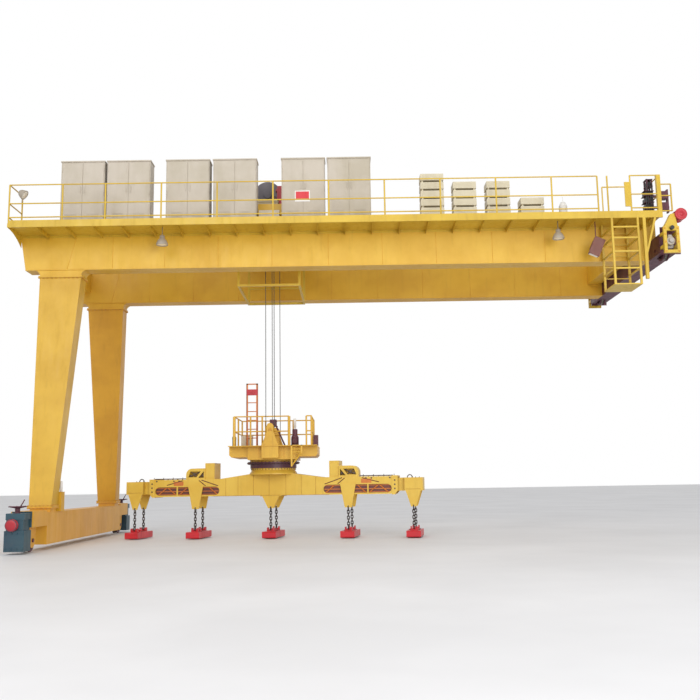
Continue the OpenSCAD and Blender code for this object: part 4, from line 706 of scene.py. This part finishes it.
# Slewing motor, switch boxes and signal lamp
# The vertical motor stands on its gear flange with cast fins and a white signal
# lamp on top. The boxes are pressed steel, each with a lid seam and a clip.
green_paint = enamel("grey_green_enamel", "#5F6A5C", "#525D50", "#34362F", rough=0.45, wear=0.6)
white_box = enamel("powder_coat_light_grey", "#DCD3BF", "#CDC3AE", "#A2937A", rough=0.5, wear=0.3)
c, s = circle(20)
rib = points(0.57 + 0.103 * c, 0.52 + 0.103 * s, 0.05)
motor = join(revolve([(0.105, 0), (0.105, 0.02), (0.09, 0.03), (0.09, 0.04), (0.1, 0.045), (0.1, 0.3),
                      (0.092, 0.33), (0.075, 0.34), (0.075, 0.5), (0.066, 0.52), (0, 0.52)],
                     (0.57, 0.52, 0), UP, 36),
             rods(rib, rib + [0, 0, 0.24], 0.005, 4), slabs([0.51, 0.63, 0.385, 0.43, 0.12, 0.24]))
right_box = slabs([[1.13, 1.26, -0.3, -0.06, 0, 0.3], [1.122, 1.262, -0.308, -0.052, 0.24, 0.252],
                   [1.16, 1.23, -0.31, -0.3, 0.21, 0.26]])
left_box = slabs([[-1.11, -1.03, -0.3, -0.06, 0, 0.29], [-1.116, -1.022, -0.306, -0.054, 0.235, 0.247],
                  [-1.09, -1.05, -0.308, -0.3, 0.21, 0.255]])
lamp_stem = revolve([(0.036, 0), (0.038, 0.012), (0.03, 0.02), (0.03, 0.05), (0.038, 0.055), (0.038, 0.29),
                     (0.034, 0.305), (0, 0.31)], (0.57, 0.52, 0.52), UP, 28)
cabinet = slabs([[-0.94, -0.63, 0.3, 0.56, 0, 0.35], [-0.925, -0.789, 0.292, 0.3, 0.02, 0.33],
                 [-0.781, -0.645, 0.292, 0.3, 0.02, 0.33], [-0.95, -0.62, 0.288, 0.57, 0.342, 0.352]])
for name, part, paint, slot_name in (("slewing_motor", motor, maroon_paint, "maroon_paint"),
                                     ("brake_box", right_box, maroon_paint, "maroon_paint"),
                                     ("resistor_box", left_box, green_paint, "maroon_paint"),
                                     ("signal_lamp", lamp_stem, white_paint, "cabinet_beige"),
                                     ("terminal_box", cabinet, white_box, "cabinet_beige")):
    made = piece(name, *join(part, at=HANGER), paint, "hanger", slot_name, smooth=part is lamp_stem)
    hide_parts("slew_drive")

# Ladders of the hanger
# Welded angle-iron ladder in orange primer with a red switch box near its top,
# and a short yellow step frame that hangs below the front edge of the deck.
orange_paint = enamel("orange_primer_enamel", "#CE7833", "#B8642A", "#6E3A22", rough=0.46, wear=0.9)
LADDER = (trolley_x - 0.62, 0.2, HANGER_Z)
rails = [[-0.165, -0.115, 0, 0.008, 0, 1.815], [-0.165, -0.157, 0, 0.05, 0, 1.815],
         [0.115, 0.165, 0, 0.008, 0, 1.815], [0.157, 0.165, 0, 0.05, 0, 1.815]]
rails += [[-0.165, 0.165, 0, 0.05, 1.785, 1.815], [-0.165, -0.115, 0, 0.05, 0, 0.01],
          [0.115, 0.165, 0, 0.05, 0, 0.01]]
rung_ends = points(-0.16, 0.025, 0.27 + 0.25 * np.arange(6))
rungs = rods(rung_ends, rung_ends + [0.32, 0, 0], 0.013, 10)
ladder = piece("ladder_frame", *join(slabs(rails), rungs, at=LADDER), orange_paint, "hanger", "frame_yellow")
red_box = slabs([[-0.155, 0.155, 0, 0.09, 1.485, 1.645], [-0.16, 0.16, -0.004, 0.006, 1.48, 1.65],
                 [-0.06, -0.03, -0.02, 0, 1.55, 1.58], [0.03, 0.06, -0.02, 0, 1.55, 1.58]])
switch = piece("ladder_switch_box", *join(red_box, at=LADDER), crimson_paint, "hanger", "red_paint")
bars = slabs([[0.56, 0.6, -0.02, 0.02, -0.57, 0], [0.825, 0.865, -0.02, 0.02, -0.22, 0],
              [0.545, 0.88, -0.02, 0.021, -0.02, 0]])
step_ends = points(0.57, 0, np.array([-0.108, -0.188]))
slope = rods([0.585, 0, -0.545], [0.842, 0, -0.205], 0.018, 4)
treads = rods(step_ends, step_ends + [0.28, 0, 0], 0.014, 10)
steps = piece("front_step_frame", *join(bars, treads, slope, at=(trolley_x, -1.12, HANGER_Z)), hanger_paint,
              "hanger", "frame_yellow")
for made in (ladder, switch, steps):
    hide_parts("hanger_ladder")


# Magnet beam and slewing ring
# A stepped box beam of 12 mm plate with capped butt welds. The maroon ring has a
# row of bolts under its wide flange, and the yellow neck a row round its rim.
beam_paint = enamel("sprayed_enamel_beam", "#DDB84A", "#D3AA3A", "#94702F", rough=0.4, wear=0.7)
dark_bolts = enamel("oiled_hexagon_bolts", "#5B4A3C", "#43352B", "#2B231E", rough=0.4, wear=0.6)
line_paint = enamel("capped_weld_bead", "#B9852A", "#A37322", "#6E4C24", rough=0.5, wear=0.4)
dress(beam_paint, "magnet_beam", "left_arm", "right_arm", "arm_drives")
REST = math.radians(-9)
RING = (trolley_x, 0, ground_z + 1.89)
BEAM_Z = ground_z + 1.15


def ring(radius, count, z, phase=0.0):
    """Points on a circle round the axis of the slewing ring, at height z over its middle."""
    c, s = circle(count, phase)
    return points(radius * c, radius * s, z)


def slew(*parts, lift=BEAM_Z):
    """Joins parts from the beam's own axes, X along it, lifts them and turns them to its resting angle."""
    straight, faces = join(*parts)
    x, y, z = straight.T
    c = math.cos(REST)
    s = math.sin(REST)
    return points(trolley_x + x * c - y * s, x * s + y * c, z + lift), faces


flange_heads = bolts(ring(0.69, 40, 0.125), (0, 0, -1), 0.03, 0.014, 0.003)
rim_heads = rods(ring(0.612, 44, -0.028, 0.03), ring(0.628, 44, -0.028, 0.03), 0.014, 6)
top_heads = bolts(ring(0.69, 40, 0.16, 0.08), UP, 0.03, 0.014, 0.003)
piece("ring_bolts", *join(flange_heads, top_heads, at=RING), dark_bolts, "beam", "worn_steel")
piece("neck_rim_bolts", *join(rim_heads, at=RING), dark_bolts, "beam", "worn_steel")
line_x = np.array([-1.28, -0.93, -0.49, -0.05, 0.42, 0.85, 1.25])
line_top = np.where(np.abs(line_x) < 0.53, 0.6, 0.6 - 0.13 * (np.abs(line_x) - 0.53) / 0.92)
lines = []
for s in (-1, 1):
    feet = points(line_x, s * 0.3005, 0.012)
    lines.append(rods(feet, points(line_x, s * 0.3005, line_top - 0.012), 0.0045, 6))
    lines.append(rods([-1.62, s * 0.3, 0.004], [1.62, s * 0.3, 0.004], 0.006, 6))
piece("beam_welds", *slew(*lines), line_paint, "beam", "girder_yellow", smooth=True)


# Inside of the sleeves
# Behind each long slot is a dark maroon liner sheet, painted shade for the inside of the sleeve, with its
# flat slide bars and braces, which keep some of their orange primer. The pads are bolted from outside.
def struts(rows, end, y, radius, sides=4):
    """Bars at one Y, from rows of x and z at their start and x and z at their end, with X times end."""
    x0, z0, x1, z1 = (np.array(rows) * [end, 1, end, 1]).T
    return rods(points(x0, y, z0), points(x1, y, z1), radius, sides)


maroon_and_shade_paint = enamel("dark_maroon_enamel_and_painted_shade", "#6B3B33", "#553029", "#3A2A22", rough=0.55, wear=0.9)
shade_liners = []
slides = []
braces = []
pad_heads = []
for end, side in ((-1, -1), (-1, 1), (1, -1), (1, 1)):
    # Each liner is a dark sheet inside the slot: painted shade for the inside of the sleeve.
    shade_liners.append([end * 1.47, end * 3.31, side * 0.262, side * 0.268, 0.025, 0.285])
    slides += [[end * 1.48, end * 3.3, side * 0.268, side * 0.284, z, z + tall]
               for z, tall in ((0.052, 0.016), (0.135, 0.02), (0.232, 0.016))]
    braces.append(struts([(2.4, 0.24, 2.62, 0.05), (2.72, 0.05, 2.95, 0.24), (3.0, 0.24, 3.22, 0.06),
                          (1.52, 0.05, 1.75, 0.24)], end, side * 0.285, 0.016))
    heads = [[end * x, side * 0.3, 0.43] for x in (2.63, 2.78, 3.28)]
    heads += [[end * 3.41, side * 0.318, z] for z in (0.14, 0.25, 0.36)]
    pad_heads.append(bolts(heads, (0, side, 0), 0.026, 0.012, 0.003))
piece("slot_shade_liners", *slew(slabs(shade_liners)), maroon_and_shade_paint, "beam", "maroon_paint")
piece("slide_bars", *slew(slabs(slides)), orange_paint, "beam", "frame_yellow")
piece("slot_braces", *slew(*braces), orange_paint, "beam", "frame_yellow")
piece("pad_bolts", *slew(*pad_heads), dark_bolts, "beam", "worn_steel")

# Arm drives
# A switch box and a rounded cover of folded plate. Through its cut-outs show the
# crank, the drag link and the toothed wheel, in dark oiled steel and maroon.
TOP_Z = ground_z + 1.62
links = []
rims = []
for end in (-1, 1):
    for row, r in (((1.935, 0.215, 2.06, 0.05), 0.016), ((1.935, 0.06, 2.01, 0.14), 0.013),
                   ((2.05, 0.2, 2.32, 0.075), 0.017), ((2.13, 0.075, 2.29, 0.205), 0.014)):
        links.append(struts([row], end, -0.24, r, 8))
    for x, z, r in ((2.2, 0.135, 0.045), (2.31, 0.1, 0.03), (1.96, 0.1, 0.032)):
        hub = [(0, 0), (r, 0), (r, 0.03), (r * 0.5, 0.034), (r * 0.5, 0.05), (0, 0.05)]
        links.append(revolve(hub, (end * x, -0.21, z), (0, -1, 0), 16))
    rims += [[end * 1.64, end * 1.87, -0.256, -0.25, 0.05, 0.38],
             [end * 1.62, end * 1.89, -0.256, 0.306, 0.43, 0.442],
             [end * 1.633, end * 1.657, -0.262, -0.25, 0.09, 0.14],
             [end * 1.633, end * 1.657, -0.262, -0.25, 0.29, 0.34],
             [end * 1.93, end * 2.2, -0.15, 0.06, 0.298, 0.305]]
piece("arm_linkage", *slew(*links, lift=TOP_Z), dark_bolts, "beam", "worn_steel")
piece("arm_drive_trim", *slew(slabs(rims), lift=TOP_Z), beam_paint, "beam", "frame_yellow")

# Trim of the sleeves
# Folded gussets stiffen the sleeves' sides, and a bolted plate covers the middle of
# each. A conduit in clips runs along each top and feeds three short risers.
gussets = []
covers = []
conduits = []
for end in (-1, 1):
    for side in (-1, 1):
        gussets.append(struts([(1.5, 0.285, 1.98, 0.45), (2.52, 0.44, 2.98, 0.32), (1.86, 0.29, 2.05, 0.44)],
                              end, side * 0.301, 0.012))
        covers.append([end * 2.5, end * 2.78, side * 0.3, side * 0.306, 0.3, 0.41])
    clip = points(end * np.arange(2.55, 3.4, 0.14), -0.24, 0)
    riser = clip[::2] + [0, 0.02, 0]
    conduits.append(struts([(2.45, 0.022, 3.36, 0.022)], end, -0.24, 0.014, 10))
    conduits.append(rods(clip + [0, -0.026, 0.003], clip + [0, 0.026, 0.003], 0.012, 4))
    conduits.append(rods(riser, riser + [0, 0, 0.06], 0.009))
piece("sleeve_gussets", *slew(*gussets), maroon_and_shade_paint, "beam", "maroon_paint")
piece("sleeve_cover_plates", *slew(slabs(covers)), orange_paint, "beam", "frame_yellow")
piece("sleeve_conduits", *slew(*conduits, lift=TOP_Z), dark_bolts, "beam", "worn_steel")


# Sliding arms
# Box arms with a wide head. A bent lifting handle and a row of grease nipples
# stand on top, and the chain plates are welded along their upper edge.
for body, end in (("left_slider", -1), ("right_slider", 1)):
    lines = []
    for s in (-1, 1):
        lines.append(rods([end * 3.7, s * 0.3305, 0.12], [end * 4.1, s * 0.3305, 0.12], 0.005, 6))
        lines.append(rods([end * 3.665, s * 0.331, 0.09], [end * 3.665, s * 0.331, 0.41], 0.005, 6))
    piece(body + "_welds", *slew(*lines), line_paint, body, "girder_yellow", smooth=True)
    t = np.linspace(0, math.pi, 13)
    bow = points(end * (3.8 - 0.07 * np.cos(t)), -0.1, 0.42 + 0.08 * np.sin(t))
    nipples = [revolve([(0.012, 0), (0.012, 0.012), (0.006, 0.016), (0.008, 0.024), (0, 0.028)],
                       (end * x, 0.1, 0.425), UP, 10) for x in (3.84, 3.94, 4.04)]
    handle = rods(bow[:-1], bow[1:], 0.013, 10)
    piece(body + "_handle", *slew(handle, *nipples), dark_bolts, body, "worn_steel", smooth=True)


# Chains and shackles
# Forged round links and shackles in black mill scale, dry and slightly brown,
# with bright rubbed spots where they bear on each other.
chain_steel = enamel("forged_chain_mill_scale", "#3B302C", "#2A2322", "#5D3A2C", rough=0.42, wear=0.6,
                     metal="#8B837B")
dress(chain_steel, "inner_chains", "left_chains", "right_chains")


# Lifting magnets
# Cast steel cases painted signal red, with a bolted coil cover, a terminal box
# and a welded lug pad for each chain. The pole faces below are bare steel.
magnet_paint = enamel("signal_red_magnet_enamel", "#CB242F", "#B91D29", "#6C2724", rough=0.38, wear=0.9,
                      metal="#7B5A52")
dress(magnet_paint, "inner_magnets", "left_magnet", "right_magnet")
CASE_Z = ground_z + 0.19
LUG_Y = 0.315
cover = [[-0.15, 0.15, -0.19, 0.19, 0, 0.012], [-0.06, 0.06, -0.07, 0.07, 0.012, 0.07],
         [-0.066, 0.066, -0.076, 0.076, 0.052, 0.058]]
for x, w, deep, z0, z1 in ((0, 0.085, 0.05, 0, 0.022), (-0.055, 0.012, 0.045, 0.02, 0.045),
                           (0.055, 0.012, 0.045, 0.02, 0.045), (-0.078, 0.016, 0.062, 0, 0.105),
                           (0.078, 0.016, 0.062, 0, 0.105)):
    cover += [[x - w, x + w, s * LUG_Y - deep, s * LUG_Y + deep, z0, z1] for s in (-1, 1)]
heads = [[x, y, 0.012] for x in (-0.13, 0.13) for y in (-0.16, -0.055, 0.055, 0.16)]
pole = [[-0.19, 0.19, s * 0.02, s * 0.5, -0.172, -0.16] for s in (-1, 1)]
kit = (("_magnet_covers", slabs(cover), magnet_paint, "red_paint"),
       ("_magnet_bolts", bolts(heads, UP, 0.024, 0.01, 0.002), dark_bolts, "worn_steel"),
       ("_pole_faces", slabs(pole), steel_rim, "worn_steel"))
for name, body, places in (("inner", "beam", (-2.14, 0, 2.14)), ("left", "left_slider", (-3.9,)),
                           ("right", "right_slider", (3.9,))):
    for label, part, paint, slot_name in kit:
        row = [join(part, at=(x, 0, 0)) for x in places]
        piece(name + label, *slew(*row, lift=CASE_Z), paint, body, slot_name)


# Floor, world and lights
# A plain pale floor under the crane and soft studio light from both sides of the
# camera, with a white surround that only the camera and gloss see.
FLOOR_Z = ground_z - 0.003
ROOM_LIGHT = 0.66
# Pale concrete shows large soft clouds of two close greys.
concrete, tree, shader, where = blank("pale_concrete_floor")
mottle = add(tree, "TexNoise", {"Vector": where}, {"Scale": 0.35, "Detail": 4.0})
pale = add(tree, "ValToRGB", {"Fac": mottle}, stops=[(0.3, rgb("#DCDCDE")), (0.7, rgb("#E6E6E8"))])
connect(tree, shader, {"Base Color": pale}, {"Roughness": 0.6})
corners = [[-140, -60, FLOOR_Z], [120, -60, FLOOR_Z], [120, 160, FLOOR_Z], [-140, 160, FLOOR_Z]]
floor = model("floor", corners, [[0, 1, 2, 3]], concrete)

world = bpy.data.worlds.new("surround")
bpy.context.scene.world = world
world.use_nodes = True
tree = world.node_tree
paths = add(tree, "LightPath")
seen = add(tree, "Math", {0: paths.outputs["Is Camera Ray"], 1: paths.outputs["Is Glossy Ray"]},
           operation="MAXIMUM")
shown = add(tree, "Math", {0: seen, 1: paths.outputs["Is Transmission Ray"]}, operation="MAXIMUM")
strength = add(tree, "MapRange", {"Value": shown}, {"To Min": ROOM_LIGHT, "To Max": 1.0})
connect(tree, tree.nodes["Background"], {"Strength": strength}, {"Color": grey(1.0)})


def lamp(name, spot, aim, size, power):
    """A square soft light at spot, turned to face aim."""
    data = bpy.data.lights.new(name, "AREA")
    data.size = size
    data.energy = power
    along, u, v = frame_of(np.array(spot) - np.array(aim))
    stand(name, data, (u, v, along), spot)


lamp("key", (-18.0, -30.0, 12.0), (-8.0, 0.0, -2.0), 16.0, 3000.0)
lamp("fill", (2.0, -30.0, -1.0), (-6.0, 0.0, -1.0), 12.0, 3200.0)

bpy.context.scene.view_settings.view_transform = "Standard"
